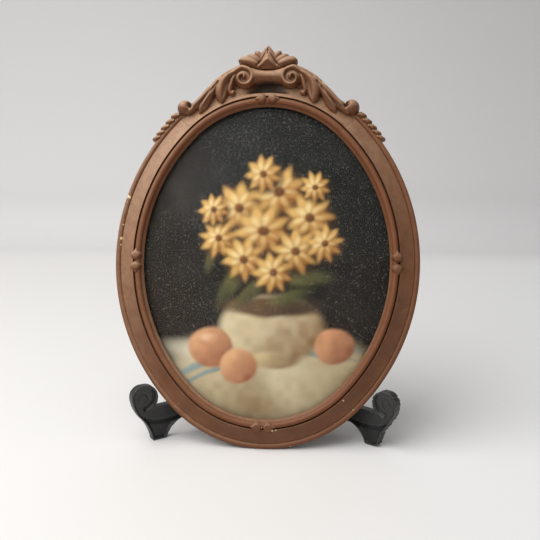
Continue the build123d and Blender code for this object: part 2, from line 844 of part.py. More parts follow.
def crest(rail_top):
    """The crest's carved pieces by name, each cut clear of the ones it is glued on."""
    ground = main_body(crest_ground() - rail_top)
    scroll = main_body(scroll_right() - rail_top - ground)
    other_scroll = mirror(scroll, about=Plane.YZ)
    shell = main_body(palmette() - scroll - other_scroll - ground - rail_top)
    roll = main_body(bolster() - scroll - other_scroll - shell - ground - rail_top)
    sprig = bead_sprig() - scroll
    return {
        "crest_ground": ground,
        "crest_scroll_right": scroll,
        "crest_scroll_left": other_scroll,
        "crest_palmette": shell,
        "crest_bolster": roll,
        "bead_sprig_right": sprig,
        "bead_sprig_left": mirror(sprig, about=Plane.YZ),
    }


def build_frame():
    """All the frame's pieces, flat, by name."""
    rails = {
        "rail_right": rail_blank(0),
        "rail_top": rail_blank(quarter),
        "rail_left": rail_blank(2 * quarter),
        "rail_bottom": rail_blank(-quarter),
    }
    rails["rail_top"] -= crest_land(land_width, land_end_share)
    rails["rail_top"] -= crest_land(hollow_width, hollow_end_share)
    pieces = crest(rails["rail_top"])
    knots = {"right": (0, sight_half_width), "top": (quarter, sight_half_height),
             "left": (2 * quarter, sight_half_width), "bottom": (-quarter, sight_half_height)}
    for name, (turn, half_axis) in knots.items():
        pieces["knot_" + name] = knot(turn, half_axis)
        rails["rail_" + name] -= knot_pocket(turn, half_axis)
    tongues = [tongue(side, end) for side in (-1, 1) for end in (-1, 1)]
    button_screws = [place * wood_screw(seat_gap + button_thickness + pivot_clearance)
                     for place in button_places()]
    strap_screws = [place * wood_screw(strap_thickness) for place in strap_places()]
    for name, rail in rails.items():
        for cutter in tongues + button_screws + strap_screws:
            rail -= cutter
        pieces[name] = rail
    strap = hanger_strap()
    for screw in strap_screws:
        strap -= screw
    for index, place in enumerate(button_places()):
        pieces["turn_button_" + str(index + 1)] = place * turn_button()
    pieces.update({
        "joint_tongues": Compound(tongues),
        "glass": domed_plate(glass_back, glass_thickness),
        "print_card": domed_plate(card_back, card_thickness),
        "backing_board": board(),
        "turn_button_screws": Compound(button_screws),
        "hanger_strap": strap,
        "hanger_ring": hanger_ring(),
        "hanger_screws": Compound(strap_screws),
    })
    return pieces


def main():
    """Build every piece, stand the model on its own footprint and write the files."""
    pieces = {name: frame_plane * piece for name, piece in build_frame().items()}
    pieces["stand_left"] = stand_left_half()
    pieces["stand_right"] = stand_right_half()
    pieces["hinge_pin"] = hinge_pin()
    whole = Compound([solid for piece in pieces.values() for solid in piece.solids()]).bounding_box()
    shift = Pos(0, -(whole.min.Y + whole.max.Y) / 2, -whole.min.Z)
    os.makedirs("parts", exist_ok=True)
    for name, piece in pieces.items():
        placed = shift * Compound(list(piece.solids()))
        export_step(placed, os.path.join("parts", name + ".step"))
        print(name, len(placed.solids()), round(placed.volume))
    print("box", whole.min, whole.max)


main()
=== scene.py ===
import json
import logging
from dataclasses import dataclass, replace
from enum import Enum
from math import atan2, cos, pi, radians, sin, sqrt

import bmesh
import bpy
import numpy as np
from mathutils import Matrix, Vector


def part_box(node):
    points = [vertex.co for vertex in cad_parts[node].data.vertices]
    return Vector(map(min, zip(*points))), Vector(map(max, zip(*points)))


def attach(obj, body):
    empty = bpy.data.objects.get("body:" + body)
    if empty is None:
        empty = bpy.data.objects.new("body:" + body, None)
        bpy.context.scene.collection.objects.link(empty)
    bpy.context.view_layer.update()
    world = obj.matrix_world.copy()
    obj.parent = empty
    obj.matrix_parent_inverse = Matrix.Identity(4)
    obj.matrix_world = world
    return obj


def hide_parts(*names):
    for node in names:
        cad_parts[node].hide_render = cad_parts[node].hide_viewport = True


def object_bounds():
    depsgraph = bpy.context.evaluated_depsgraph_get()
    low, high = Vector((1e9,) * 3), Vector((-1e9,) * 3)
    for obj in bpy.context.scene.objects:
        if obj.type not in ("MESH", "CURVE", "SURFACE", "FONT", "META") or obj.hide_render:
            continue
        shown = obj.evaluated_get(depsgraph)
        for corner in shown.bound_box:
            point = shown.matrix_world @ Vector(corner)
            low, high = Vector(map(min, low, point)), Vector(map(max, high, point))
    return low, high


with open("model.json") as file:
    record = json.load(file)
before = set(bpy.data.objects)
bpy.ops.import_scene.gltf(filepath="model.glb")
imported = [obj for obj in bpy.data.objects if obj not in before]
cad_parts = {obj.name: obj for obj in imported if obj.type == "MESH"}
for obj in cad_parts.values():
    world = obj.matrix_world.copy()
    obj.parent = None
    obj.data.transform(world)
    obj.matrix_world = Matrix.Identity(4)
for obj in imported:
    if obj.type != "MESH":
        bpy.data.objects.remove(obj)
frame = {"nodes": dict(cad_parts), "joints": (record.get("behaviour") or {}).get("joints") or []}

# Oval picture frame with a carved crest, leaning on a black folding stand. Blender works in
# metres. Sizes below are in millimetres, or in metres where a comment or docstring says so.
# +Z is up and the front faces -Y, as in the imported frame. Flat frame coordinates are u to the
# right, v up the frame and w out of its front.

log = logging.getLogger("oval_frame")
MM = 0.001
CAD_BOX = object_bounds()


class Body(Enum):
    """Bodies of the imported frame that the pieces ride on."""

    FRAME = "frame"
    STAND_LEFT = "stand_left"
    STAND_RIGHT = "stand_right"
    RING = "hanger_ring"


class Side(Enum):
    """Left or right of the frame, as the sign of u."""

    LEFT = -1
    RIGHT = 1


def linear(hex_colour: str) -> tuple[float, float, float, float]:
    """Turn an sRGB hex colour into linear light.

    Args:
        hex_colour: six hex digits, with or without a leading hash.

    Returns:
        Red, green, blue and an alpha of 1.
    """
    digits = hex_colour.lstrip("#")
    channels = [int(digits[i:i + 2], 16) / 255 for i in (0, 2, 4)]
    lit = [c / 12.92 if c <= 0.04045 else ((c + 0.055) / 1.055) ** 2.4 for c in channels]
    return (*lit, 1.0)


def set_inputs(tree: bpy.types.NodeTree, node: bpy.types.Node, inputs: dict) -> None:
    """Give a node's inputs their values and links.

    Args:
        tree: node tree that holds the node.
        node: node whose inputs are set.
        inputs: for each input, by name or number, a value, a hex colour, a source socket, or
            a source node whose first output in use is taken.
    """
    for key, value in inputs.items():
        if isinstance(value, bpy.types.Node):
            value = next(output for output in value.outputs if output.enabled)
        if isinstance(value, bpy.types.NodeSocket):
            tree.links.new(value, node.inputs[key])
        else:
            node.inputs[key].default_value = linear(value) if isinstance(value, str) else value


def add_node(
    tree: bpy.types.NodeTree, kind: str, inputs: dict | None = None, **settings: object
) -> bpy.types.Node:
    """Add a node with its settings, input values and links.

    Args:
        tree: node tree that gets the node.
        kind: Blender's name of the node type, after its leading ShaderNode.
        inputs: what set_inputs gives the node.
        settings: properties of the node.

    Returns:
        The new node.
    """
    node = tree.nodes.new(f"ShaderNode{kind}")
    for name, value in settings.items():
        setattr(node, name, value)
    set_inputs(tree, node, inputs or {})
    return node


def new_material(
    name: str,
) -> tuple[bpy.types.Material, bpy.types.Node, bpy.types.NodeSocket]:
    """Start a material.

    Args:
        name: name of the material.

    Returns:
        The material, its surface shader and the object's own coordinates.
    """
    material = bpy.data.materials.new(name)
    material.use_nodes = True
    tree = material.node_tree
    place = add_node(tree, "TexCoord").outputs["Object"]
    return material, tree.nodes["Principled BSDF"], place


def product(tree: bpy.types.NodeTree, ramps: tuple[tuple, ...]) -> bpy.types.Node:
    """Multiply ramps.

    Args:
        tree: node tree that gets the nodes.
        ramps: for each ramp its source, the values where it starts and ends, and what it
            gives at its start and at its end.

    Returns:
        The node that gives the product.
    """
    total = None
    for source, start, end, first, last in ramps:
        ramp = add_node(tree, "MapRange", {
            "Value": source, "From Min": start, "From Max": end, "To Min": first, "To Max": last,
        })
        total = ramp if total is None else add_node(
            tree, "Math", {0: total, 1: ramp}, operation="MULTIPLY"
        )
    return total


def layered(tree: bpy.types.NodeTree, colour: object, layers: tuple[tuple, ...]) -> bpy.types.Node:
    """Lay colours over one another.

    Args:
        tree: node tree that gets the nodes.
        colour: what lies undermost.
        layers: for each layer its mask and its colour. Between them may stand the values
            where the mask starts and is full, and how much the layer then hides.

    Returns:
        The node that gives the uppermost colour.
    """
    for mask, *ramp, over in layers:
        if ramp:
            start, full, most = ramp
            mask = add_node(tree, "MapRange", {
                "Value": mask, "From Min": start, "From Max": full, "To Max": most,
            })
        colour = add_node(tree, "Mix", {
            "Factor": mask, "A": colour, "B": over,
        }, data_type="RGBA")
    return colour


def smoothstep(low: float, high: float, value: np.ndarray) -> np.ndarray:
    """Ease from 0 at low to 1 at high: t squared times (3 - 2t)."""
    share = np.clip((value - low) / (high - low), 0.0, 1.0)
    return share * share * (3.0 - 2.0 * share)


def smooth_run(rows: object, samples: int) -> np.ndarray:
    """Carry a Catmull-Rom curve through rows of values.

    Between two rows the value is the cubic that passes through both with the slope of the
    chord across each.

    Args:
        rows: array of control rows, one point and its sizes in each.
        samples: number of rows wanted.

    Returns:
        Array of samples rows.
    """
    rows = np.asarray(rows, dtype=float)
    last = len(rows) - 1
    padded = np.vstack([2 * rows[0] - rows[1], rows, 2 * rows[-1] - rows[-2]])
    place = np.linspace(0.0, last, samples)
    index = np.minimum(place.astype(int), last - 1)
    t = (place - index)[:, None]
    a, b, c, d = (padded[index + k] for k in range(4))
    square = (2 * a - 5 * b + 4 * c - d) * t**2
    cube = (3 * b - a - 3 * c + d) * t**3
    return 0.5 * (2 * b + (c - a) * t + square + cube)


def arc_through(start: tuple, middle: tuple, end: tuple) -> np.ndarray:
    """Points on the circle through three points, from the first to the last."""
    (ax, ay), (bx, by), (cx, cy) = start, middle, end
    d = 2 * (ax * (by - cy) + bx * (cy - ay) + cx * (ay - by))
    a2, b2, c2 = ax * ax + ay * ay, bx * bx + by * by, cx * cx + cy * cy
    ux = (a2 * (by - cy) + b2 * (cy - ay) + c2 * (ay - by)) / d
    uy = (a2 * (cx - bx) + b2 * (ax - cx) + c2 * (bx - ax)) / d
    angles = np.unwrap([atan2(y - uy, x - ux) for x, y in (start, middle, end)])
    turn = np.linspace(angles[0], angles[2], 40)
    radius = sqrt((ax - ux) ** 2 + (ay - uy) ** 2)
    return np.stack([ux + radius * np.cos(turn), uy + radius * np.sin(turn)], 1)


def cloud(x: np.ndarray, y: np.ndarray, cell: float, seed: int) -> np.ndarray:
    """Smooth value noise between 0 and 1.

    Random values stand at the corners of square cells and are blended across each cell by
    smoothstep. The pattern repeats after as many cells as the table is wide.
    """
    wide = 64
    table = np.random.default_rng(seed).random((wide, wide))
    gx, gy = x / cell, y / cell
    ix, iy = np.floor(gx).astype(int), np.floor(gy).astype(int)
    fx, fy = gx - ix, gy - iy
    fx, fy = fx * fx * (3 - 2 * fx), fy * fy * (3 - 2 * fy)
    near_x, near_y, far_x, far_y = ix % wide, iy % wide, (ix + 1) % wide, (iy + 1) % wide
    low = table[near_x, near_y] * (1 - fx) + table[far_x, near_y] * fx
    high = table[near_x, far_y] * (1 - fx) + table[far_x, far_y] * fx
    return low * (1 - fy) + high * fy


def grid_quads(
    rows: int, columns: int, wrap_rows: bool = False, wrap_columns: bool = False
) -> np.ndarray:
    """Corner numbers of every quad of a grid, which may close on itself either way."""
    r, c = np.meshgrid(
        np.arange(rows if wrap_rows else rows - 1),
        np.arange(columns if wrap_columns else columns - 1),
        indexing="ij",
    )
    here, ahead = r * columns, (r + 1) % rows * columns
    c_next = (c + 1) % columns
    return np.stack([here + c, here + c_next, ahead + c_next, ahead + c], -1).reshape(-1, 4)


def tube_faces(rows: int, columns: int) -> list:
    """Quads between rings of points, then a face that closes the first and the last ring."""
    ring = list(range(columns))
    ends = [ring[::-1], [(rows - 1) * columns + corner for corner in ring]]
    return grid_quads(rows, columns, wrap_columns=True).tolist() + ends


def fan(start: int, columns: int, tip: int) -> list:
    """Triangles between a ring of points and its tip."""
    return [[start + k, start + (k + 1) % columns, tip] for k in range(columns)]


def edge_pairs(quads: np.ndarray) -> np.ndarray:
    """Each edge of the quads once, as a pair of vertex numbers."""
    ends = np.concatenate([np.stack([quads[:, k], quads[:, (k + 1) % 4]], 1) for k in range(4)])
    ends = np.unique(np.sort(ends, axis=1), axis=0)
    return ends[ends[:, 0] != ends[:, 1]]


def relaxed(points: np.ndarray, edges: np.ndarray, rounds: int, share: float) -> np.ndarray:
    """Move every vertex a share of the way to its neighbours' mean, for a number of rounds."""
    start = np.concatenate([edges[:, 0], edges[:, 1]])
    end = np.concatenate([edges[:, 1], edges[:, 0]])
    total = len(points)
    count = np.maximum(np.bincount(start, minlength=total), 1)[:, None]
    for _ in range(rounds):
        sums = [np.bincount(start, weights=axis, minlength=total) for axis in points[end].T]
        points = points + share * (np.stack(sums, 1) / count - points)
    return points


def outward_normals(points: np.ndarray, quads: np.ndarray) -> np.ndarray:
    """Unit vertex normals: each quad adds the cross product of its diagonals to its corners."""
    p = points[quads]
    faces = np.cross(p[:, 2] - p[:, 0], p[:, 3] - p[:, 1])
    total = len(points)
    sums = np.zeros((total, 3))
    for corner in range(4):
        for axis in range(3):
            sums[:, axis] += np.bincount(
                quads[:, corner], weights=faces[:, axis], minlength=total
            )
    return sums / np.maximum(np.linalg.norm(sums, axis=1), 1e-12)[:, None]


def hollowness(points: np.ndarray, quads: np.ndarray, reach: float, rounds: int = 12) -> np.ndarray:
    """How far the surface lies in a hollow (towards 1) or on a ridge (towards -1).

    It is the distance along the normal from the vertex to the relaxed surface, over reach.
    """
    level = relaxed(points, edge_pairs(quads), rounds, 0.6)
    rise = np.einsum("ij,ij->i", level - points, outward_normals(points, quads))
    return np.clip(rise / reach, -1.0, 1.0)


def closed_mesh(name: str, points: np.ndarray, faces: list | np.ndarray) -> bpy.types.Mesh:
    """Mesh of points and faces, with every face turned outwards."""
    mesh = bpy.data.meshes.new(name)
    corners = faces.tolist() if isinstance(faces, np.ndarray) else faces
    mesh.from_pydata(points.tolist(), [], corners)
    work = bmesh.new()
    work.from_mesh(mesh)
    bmesh.ops.recalc_face_normals(work, faces=work.faces)
    work.to_mesh(mesh)
    work.free()
    return mesh


def make_piece(
    name: str,
    points: np.ndarray,
    faces: list | np.ndarray,
    finish: bpy.types.Material,
    body: str,
    nodes: tuple[str, ...] = (),
    uv: np.ndarray | None = None,
    weights: dict[str, np.ndarray] | None = None,
    sharp: float = 40.0,
) -> bpy.types.Object:
    """Put points and faces into a mesh object that rides on a body.

    Args:
        name: name of the piece.
        points: vertices in metres, one row each.
        faces: vertex numbers of each face.
        finish: material of the whole piece.
        body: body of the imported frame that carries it.
        nodes: CAD nodes that it stands for.
        uv: texture place of each vertex, in metres along the surface.
        weights: values for each vertex, by attribute name.
        sharp: angle in degrees from which an edge stays crisp.

    Returns:
        The new object.
    """
    mesh = closed_mesh(name, points, faces)
    if uv is not None:
        corners = np.empty(len(mesh.loops), dtype=np.int32)
        mesh.loops.foreach_get("vertex_index", corners)
        mesh.uv_layers.new(name="surface").data.foreach_set("uv", uv[corners].ravel())
    for key, values in (weights or {}).items():
        attribute = mesh.attributes.new(key, "FLOAT", "POINT")
        attribute.data.foreach_set("value", np.asarray(values, dtype=np.float32))
    mesh.polygons.foreach_set("use_smooth", np.ones(len(mesh.polygons), dtype=bool))
    mesh.set_sharp_from_angle(angle=radians(sharp))
    mesh.materials.append(finish)
    piece = bpy.data.objects.new(name, mesh)
    bpy.context.collection.objects.link(piece)
    if nodes:
        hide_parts(*nodes)
    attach(piece, body)
    log.info("%s: %d faces on %s", name, len(mesh.polygons), body)
    return piece


def join_shells(shells: list[tuple[np.ndarray, list]]) -> tuple[np.ndarray, list]:
    """Put several shells of points and faces into one list of each."""
    points, faces, offset = [], [], 0
    for shell_points, shell_faces in shells:
        points.append(shell_points)
        faces += [[corner + offset for corner in face] for face in shell_faces]
        offset += len(shell_points)
    return np.concatenate(points), faces


def cast_together(
    shells: list[tuple[np.ndarray, list]], voxel: float
) -> tuple[np.ndarray, np.ndarray]:
    """Melt overlapping closed shells into one skin, as a casting has.

    Args:
        shells: closed shells in metres.
        voxel: size of a voxel, in metres.

    Returns:
        Vertices and quads of the skin.
    """
    mesh = closed_mesh("casting", *join_shells(shells))
    pattern = bpy.data.objects.new("casting", mesh)
    bpy.context.collection.objects.link(pattern)
    melt = pattern.modifiers.new("melt", "REMESH")
    melt.mode = "VOXEL"
    melt.voxel_size = voxel
    bpy.context.view_layer.update()
    melted = pattern.evaluated_get(bpy.context.evaluated_depsgraph_get())
    skin = bpy.data.meshes.new_from_object(melted)
    co = np.empty(len(skin.vertices) * 3)
    skin.vertices.foreach_get("co", co)
    quads = np.empty(len(skin.loops), dtype=np.int32)
    skin.loops.foreach_get("vertex_index", quads)
    bpy.data.objects.remove(pattern)
    bpy.data.meshes.remove(mesh)
    bpy.data.meshes.remove(skin)
    return co.reshape(-1, 3), quads.reshape(-1, 4)


@dataclass(frozen=True)
class FramePlane:
    """The leaning plane of the frame's back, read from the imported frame."""

    board_thickness: float = 5.0

    @property
    def lean(self) -> float:
        """Angle by which the frame leans back, from the direction in which it lifts."""
        lift = next(joint for joint in frame["joints"] if joint["name"] == "frame_lift")
        return atan2(lift["axis"][1], lift["axis"][2])

    @property
    def centre(self) -> tuple[float, float]:
        """Depth and height of the oval's centre on its back, in millimetres."""
        low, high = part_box("backing_board")
        middle_y = (low[1] + high[1]) / 2 / MM
        middle_z = (low[2] + high[2]) / 2 / MM
        half = self.board_thickness / 2
        return middle_y + half * cos(self.lean), middle_z - half * sin(self.lean)

    def place(self, flat: np.ndarray) -> np.ndarray:
        """Turn flat frame coordinates in millimetres into places in metres.

        The point is the centre, plus v up the lean and w out along the frame's front normal.
        """
        flat = np.asarray(flat, dtype=float)
        y, z = self.centre
        u, v, w = flat[..., 0], flat[..., 1], flat[..., 2]
        tilt, rise = sin(self.lean), cos(self.lean)
        return MM * np.stack([u, y + v * tilt - w * rise, z + v * rise + w * tilt], -1)


@dataclass(frozen=True)
class OvalPath:
    """Oval of four arcs that meet where their normals stand at 45 degrees."""

    sight_half_width: float = 95.6
    sight_half_height: float = 121.0

    @property
    def shift(self) -> float:
        """Distance of the arcs' centres from the oval's centre."""
        return (self.sight_half_height - self.sight_half_width) / (2 - sqrt(2))

    @property
    def end_radius(self) -> float:
        """Sight radius of the top and bottom arcs."""
        return self.sight_half_height - self.shift

    @property
    def side_radius(self) -> float:
        """Sight radius of the side arcs."""
        return self.sight_half_width + self.shift

    def at(self, turn: np.ndarray, out: np.ndarray) -> tuple[np.ndarray, np.ndarray]:
        """Point whose normal stands at a turn, at a distance outside the sight edge.

        It is the centre of the turn's own arc, plus the arc's radius and the distance along
        the normal.
        """
        right, up = np.cos(turn), np.sin(turn)
        on_end = np.abs(up) > np.abs(right)
        centre_u = np.where(on_end, 0.0, -np.sign(right) * self.shift)
        centre_v = np.where(on_end, np.sign(up) * self.shift, 0.0)
        radius = np.where(on_end, self.end_radius, self.side_radius) + out
        return centre_u + radius * right, centre_v + radius * up

    def sheet(self, margin: float, count: int) -> tuple[np.ndarray, np.ndarray]:
        """Grid that fills the oval, its outermost rows on the edge.

        A square grid is pressed into a disc (x times the root of 1 - y squared / 2, and the
        same the other way), and each spoke of the disc is then stretched to the oval's edge.

        Args:
            margin: how far the edge lies outside the sight edge.
            count: points along each side of the square.

        Returns:
            u and v of the grid's points.
        """
        even, bunched = np.linspace(-1, 1, count), np.sin(np.linspace(-pi / 2, pi / 2, count))
        x, y = np.meshgrid(*[bunched * 0.25 + even * 0.75] * 2, indexing="ij")
        disc_x, disc_y = x * np.sqrt(1 - y * y / 2), y * np.sqrt(1 - x * x / 2)
        turns = np.linspace(-pi, pi, 721)
        edge_u, edge_v = self.at(turns, margin)
        spoke = np.arctan2(edge_v, edge_u)
        order = np.argsort(spoke)
        size, angle = np.hypot(disc_x, disc_y), np.arctan2(disc_y, disc_x)
        edge = np.hypot(edge_u, edge_v)
        reach = np.interp(angle, spoke[order], edge[order], period=2 * pi)
        return reach * size * np.cos(angle), reach * size * np.sin(angle)


PLANE = FramePlane()
OVAL = OvalPath()


def prism(outline: np.ndarray, low: float, high: float) -> tuple[np.ndarray, list]:
    """Closed prism over an outline, between two heights above its plane."""
    ends = [np.c_[outline, np.full(len(outline), height)] for height in (low, high)]
    return np.concatenate(ends), tube_faces(2, len(outline))


@dataclass(frozen=True)
class Chip:
    """Place where the paint has come off, in flat frame coordinates."""

    u: float
    v: float
    w: float
    radius: float


@dataclass(frozen=True)
class CompoPaint:
    """Umber paint brushed over cast composition, the plaster and glue paste of moulded frames.

    It gives the eye a soft satin brown, paler with dust and a painted sheen on what faces up and
    on the upper-left side, redder where the beads are rubbed, dark with painted shade in the
    hollows, and cream where a chip shows the paste.
    """

    umber: str = "#5f3920"
    sienna: str = "#6e4126"
    bloom: str = "#705440"
    # Painted shade in the deep hollows, the groove and the pits; also the colour of dark grit
    hollow: str = "#26150c"
    olive: str = "#54422f"
    rubbed: str = "#96633f"
    bead_red: str = "#724124"
    # Dust, laid with a painted sheen on up-facing faces and towards the upper left
    dust_and_sheen: str = "#b89375"
    paste: str = "#e9cfa2"
    bare_wood: str = "#5a4230"
    wood_pores: str = "#33231a"
    roughness: float = 0.42
    specular: float = 0.28
    mottle_mm: float = 16.0
    swell_mm: float = 5.0
    tear_mm: float = 1.1
    brush_mm: float = 0.9
    grit_mm: float = 0.35
    # Direction across the frame towards which the painted sheen grows
    sheen_side: tuple[float, float, float] = (-1.0, 0.0, 0.55)
    chips: tuple[Chip, ...] = (
        Chip(-108.8, 50.3, 10.0, 1.5), Chip(-109.6, 46.2, 9.8, 0.9),
        Chip(-114.2, 17.9, 10.0, 1.3), Chip(-114.6, 12.6, 9.8, 0.8),
        Chip(-112.9, 28.5, 9.9, 0.7), Chip(42.9, 138.2, 16.5, 1.3),
        Chip(44.6, 136.4, 16.5, 0.8), Chip(-0.7, 167.9, 14.5, 1.2),
        Chip(-67.1, 94.4, 13.6, 0.8), Chip(-0.2, -126.8, 16.6, 0.9),
        Chip(7.4, -128.9, 15.6, 1.0), Chip(10.2, -128.2, 15.4, 0.7),
        Chip(61.2, -104.6, 14.6, 0.7), Chip(64.4, -107.9, 13.2, 0.5),
        Chip(67.0, -110.4, 12.2, 0.9), Chip(68.6, -112.0, 10.6, 0.6),
        Chip(109.9, -67.2, 9.8, 0.7), Chip(21.0, -141.9, 10.0, 0.8),
    )

    def material(self) -> bpy.types.Material:
        """Build the paint's nodes: colour by height, painted shade in hollows, dust and painted
        sheen, chips and wood.
        """
        paint, shader, place = new_material("compo_paint")
        tree = paint.node_tree
        hollow, warmth, bare = (
            add_node(tree, "Attribute", attribute_name=name).outputs["Fac"]
            for name in ("hollow", "warmth", "bare")
        )
        mottle = add_node(tree, "TexNoise", {
            "Vector": place, "Scale": 1 / (self.mottle_mm * MM), "Detail": 4.0, "Roughness": 0.62,
        })
        cloudy = add_node(tree, "TexNoise", {
            "Vector": place, "Scale": 2.2 / (self.mottle_mm * MM), "Detail": 6.0,
            "Roughness": 0.7, "Distortion": 0.6,
        })
        grit = add_node(tree, "TexNoise", {
            "Vector": place, "Scale": 1 / (self.grit_mm * MM), "Detail": 2.0, "Roughness": 0.5,
        })
        rub = add_node(tree, "MapRange", {
            "Value": cloudy, "From Min": 0.38, "From Max": 0.6, "To Min": 0.21, "To Max": 0.6,
        })
        facing = add_node(tree, "TexCoord").outputs["Normal"]
        upward = add_node(tree, "SeparateXYZ", {"Vector": facing}).outputs["Z"]
        sideways = add_node(
            tree, "VectorMath", {0: place, 1: self.sheen_side}, operation="DOT_PRODUCT"
        )
        # Dust and a painted sheen from the upper left: the first ramp favours what faces up, and
        # the last but one runs over metres towards the sheen side
        dust_and_sheen_mask = product(tree, (
            (upward, -0.05, 0.7, 0.0, 0.7),
            (cloudy, 0.3, 0.6, 0.55, 1.0),
            (warmth, 0.0, 1.0, 1.0, 0.3),
            (sideways, -0.04, 0.18, 0.35, 1.55),
            (hollow, 0.05, 0.5, 1.0, 0.12),
        ))
        chipped = self.chip_mask(tree, place)
        colour = layered(tree, self.umber, (
            (mottle, 0.36, 0.66, 1.0, self.sienna),
            (cloudy, 0.42, 0.72, 0.4, self.bloom),
            (warmth, 0.0, 1.0, 0.75, self.bead_red),
            (hollow, -0.12, -0.75, rub, self.rubbed),
            (hollow, 0.05, 0.4, 0.5, self.olive),
            # Painted shade: the deepest hollows, groove, pit and gouges go near black
            (hollow, 0.4, 1.0, 0.85, self.hollow),
            (grit, 0.68, 0.78, 0.35, self.hollow),
            # Dust with painted sheen
            (dust_and_sheen_mask, self.dust_and_sheen),
            (chipped, self.paste),
            (bare, self.wood_colour(tree)),
        ))
        rough = add_node(tree, "MapRange", {
            "Value": cloudy, "From Min": 0.3, "From Max": 0.75,
            "To Min": self.roughness - 0.08, "To Max": self.roughness + 0.2,
        })
        broken = add_node(tree, "Math", {0: chipped, 1: bare}, operation="MAXIMUM")
        set_inputs(tree, shader, {
            "Base Color": colour,
            "Roughness": add_node(tree, "Math", {0: rough, 1: broken}, operation="MAXIMUM"),
            "Specular IOR Level": self.specular,
            "Normal": self.relief(tree, place, grit, chipped),
        })
        return paint

    def chip_mask(
        self, tree: bpy.types.NodeTree, place: bpy.types.NodeSocket
    ) -> bpy.types.Node:
        """Mask that is 1 inside any chip, whose ragged edge follows fine noise."""
        ragged = add_node(tree, "TexNoise", {
            "Vector": place, "Scale": 1 / (self.tear_mm * MM), "Detail": 3.0, "Roughness": 0.6,
        })
        total = None
        for chip in self.chips:
            centre = tuple(PLANE.place(np.array([chip.u, chip.v, chip.w])))
            apart = add_node(tree, "VectorMath", {0: place, 1: centre}, operation="DISTANCE")
            size = chip.radius * MM
            torn = add_node(
                tree, "Math", {0: ragged, 1: 2.4 * size, 2: apart}, operation="MULTIPLY_ADD"
            )
            inside = add_node(tree, "MapRange", {
                "Value": torn, "From Min": 2.3 * size, "From Max": 2.1 * size,
            })
            total = inside if total is None else add_node(
                tree, "Math", {0: total, 1: inside}, operation="MAXIMUM"
            )
        return total

    def wood_colour(self, tree: bpy.types.NodeTree) -> bpy.types.Node:
        """Stained wood of the frame's back, with grain along each rail's run."""
        grain = add_node(tree, "TexNoise", {
            "Vector": add_node(tree, "Mapping", {
                "Vector": add_node(tree, "UVMap", uv_map="surface"), "Scale": (30.0, 900.0, 1.0),
            }),
            "Scale": 1.0, "Detail": 5.0, "Roughness": 0.65, "Distortion": 0.4,
        })
        return layered(tree, self.wood_pores, ((grain, self.bare_wood),))

    def relief(
        self, tree: bpy.types.NodeTree, place: bpy.types.NodeSocket, grit: bpy.types.Node,
        chipped: bpy.types.Node,
    ) -> bpy.types.Node:
        """Fine relief: brush marks along the rails, swells, grit and the chips' depth."""
        brush = self.brush_mm * MM
        brushed = add_node(tree, "TexNoise", {
            "Vector": add_node(tree, "Mapping", {
                "Vector": add_node(tree, "UVMap", uv_map="surface"),
                "Scale": (0.06 / brush, 1 / brush, 1.0),
            }),
            "Scale": 1.0, "Detail": 3.0, "Roughness": 0.6,
        })
        swell = add_node(tree, "TexNoise", {
            "Vector": place, "Scale": 1 / (self.swell_mm * MM), "Detail": 3.0, "Roughness": 0.55,
        })
        below: dict = {}
        for height, strength, depth_mm, sunk in (
            (brushed, 0.25, 0.10, False), (swell, 0.3, 0.5, False),
            (grit, 0.18, 0.12, False), (chipped, 0.8, 0.4, True),
        ):
            bump = add_node(tree, "Bump", {
                "Strength": strength, "Distance": depth_mm * MM, "Height": height, **below,
            }, invert=sunk)
            below = {"Normal": bump}
        return bump


@dataclass(frozen=True)
class BlackPlastic:
    """Injection-moulded black ABS, satin from the mould, with handling scuffs.

    It gives the eye a neutral black, greyer in scuffed patches higher up, whose rounded borders
    carry the grey of wear and a painted grey highlight.
    """

    black: str = "#141415"
    # Grey of scuffs, also used as a painted highlight on the borders
    scuff_and_highlight: str = "#4b4a48"
    roughness: float = 0.38
    scuff_mm: float = 3.5
    skin_mm: float = 0.8

    def material(self) -> bpy.types.Material:
        """Build the plastic's nodes."""
        plastic, shader, place = new_material("black_moulded_plastic")
        tree = plastic.node_tree
        hollow = add_node(tree, "Attribute", attribute_name="hollow").outputs["Fac"]
        height = add_node(tree, "SeparateXYZ", {"Vector": place}).outputs["Z"]
        scuffs = add_node(tree, "TexNoise", {
            "Vector": place, "Scale": 1 / (self.scuff_mm * MM), "Detail": 7.0,
            "Roughness": 0.72, "Distortion": 1.2,
        })
        # Raised borders take the grey: partly handling wear, partly a painted highlight
        worn = add_node(tree, "MapRange", {
            "Value": hollow, "From Min": -0.15, "From Max": -0.8, "To Max": 0.55,
        })
        # Greyer in scuffed patches higher up the stand; height is in metres
        haze = product(tree, ((height, 0.014, 0.04, 0.0, 0.26), (scuffs, 0.35, 0.75, 0.6, 1.3)))
        mask = add_node(tree, "Math", {0: worn, 1: haze}, operation="MAXIMUM")
        skin = add_node(tree, "TexNoise", {
            "Vector": place, "Scale": 1 / (self.skin_mm * MM), "Detail": 3.0, "Roughness": 0.5,
        })
        grained = add_node(tree, "Bump", {
            "Strength": 0.12, "Distance": 0.1 * MM, "Height": skin,
        })
        set_inputs(tree, shader, {
            "Base Color": layered(tree, self.black, ((mask, self.scuff_and_highlight),)),
            "Roughness": add_node(tree, "MapRange", {
                "Value": scuffs, "From Min": 0.3, "From Max": 0.75,
                "To Min": self.roughness - 0.08, "To Max": self.roughness + 0.22,
            }),
            "Normal": add_node(tree, "Bump", {
                "Strength": 0.25, "Distance": 0.35 * MM, "Height": scuffs, "Normal": grained,
            }),
        })
        return plastic


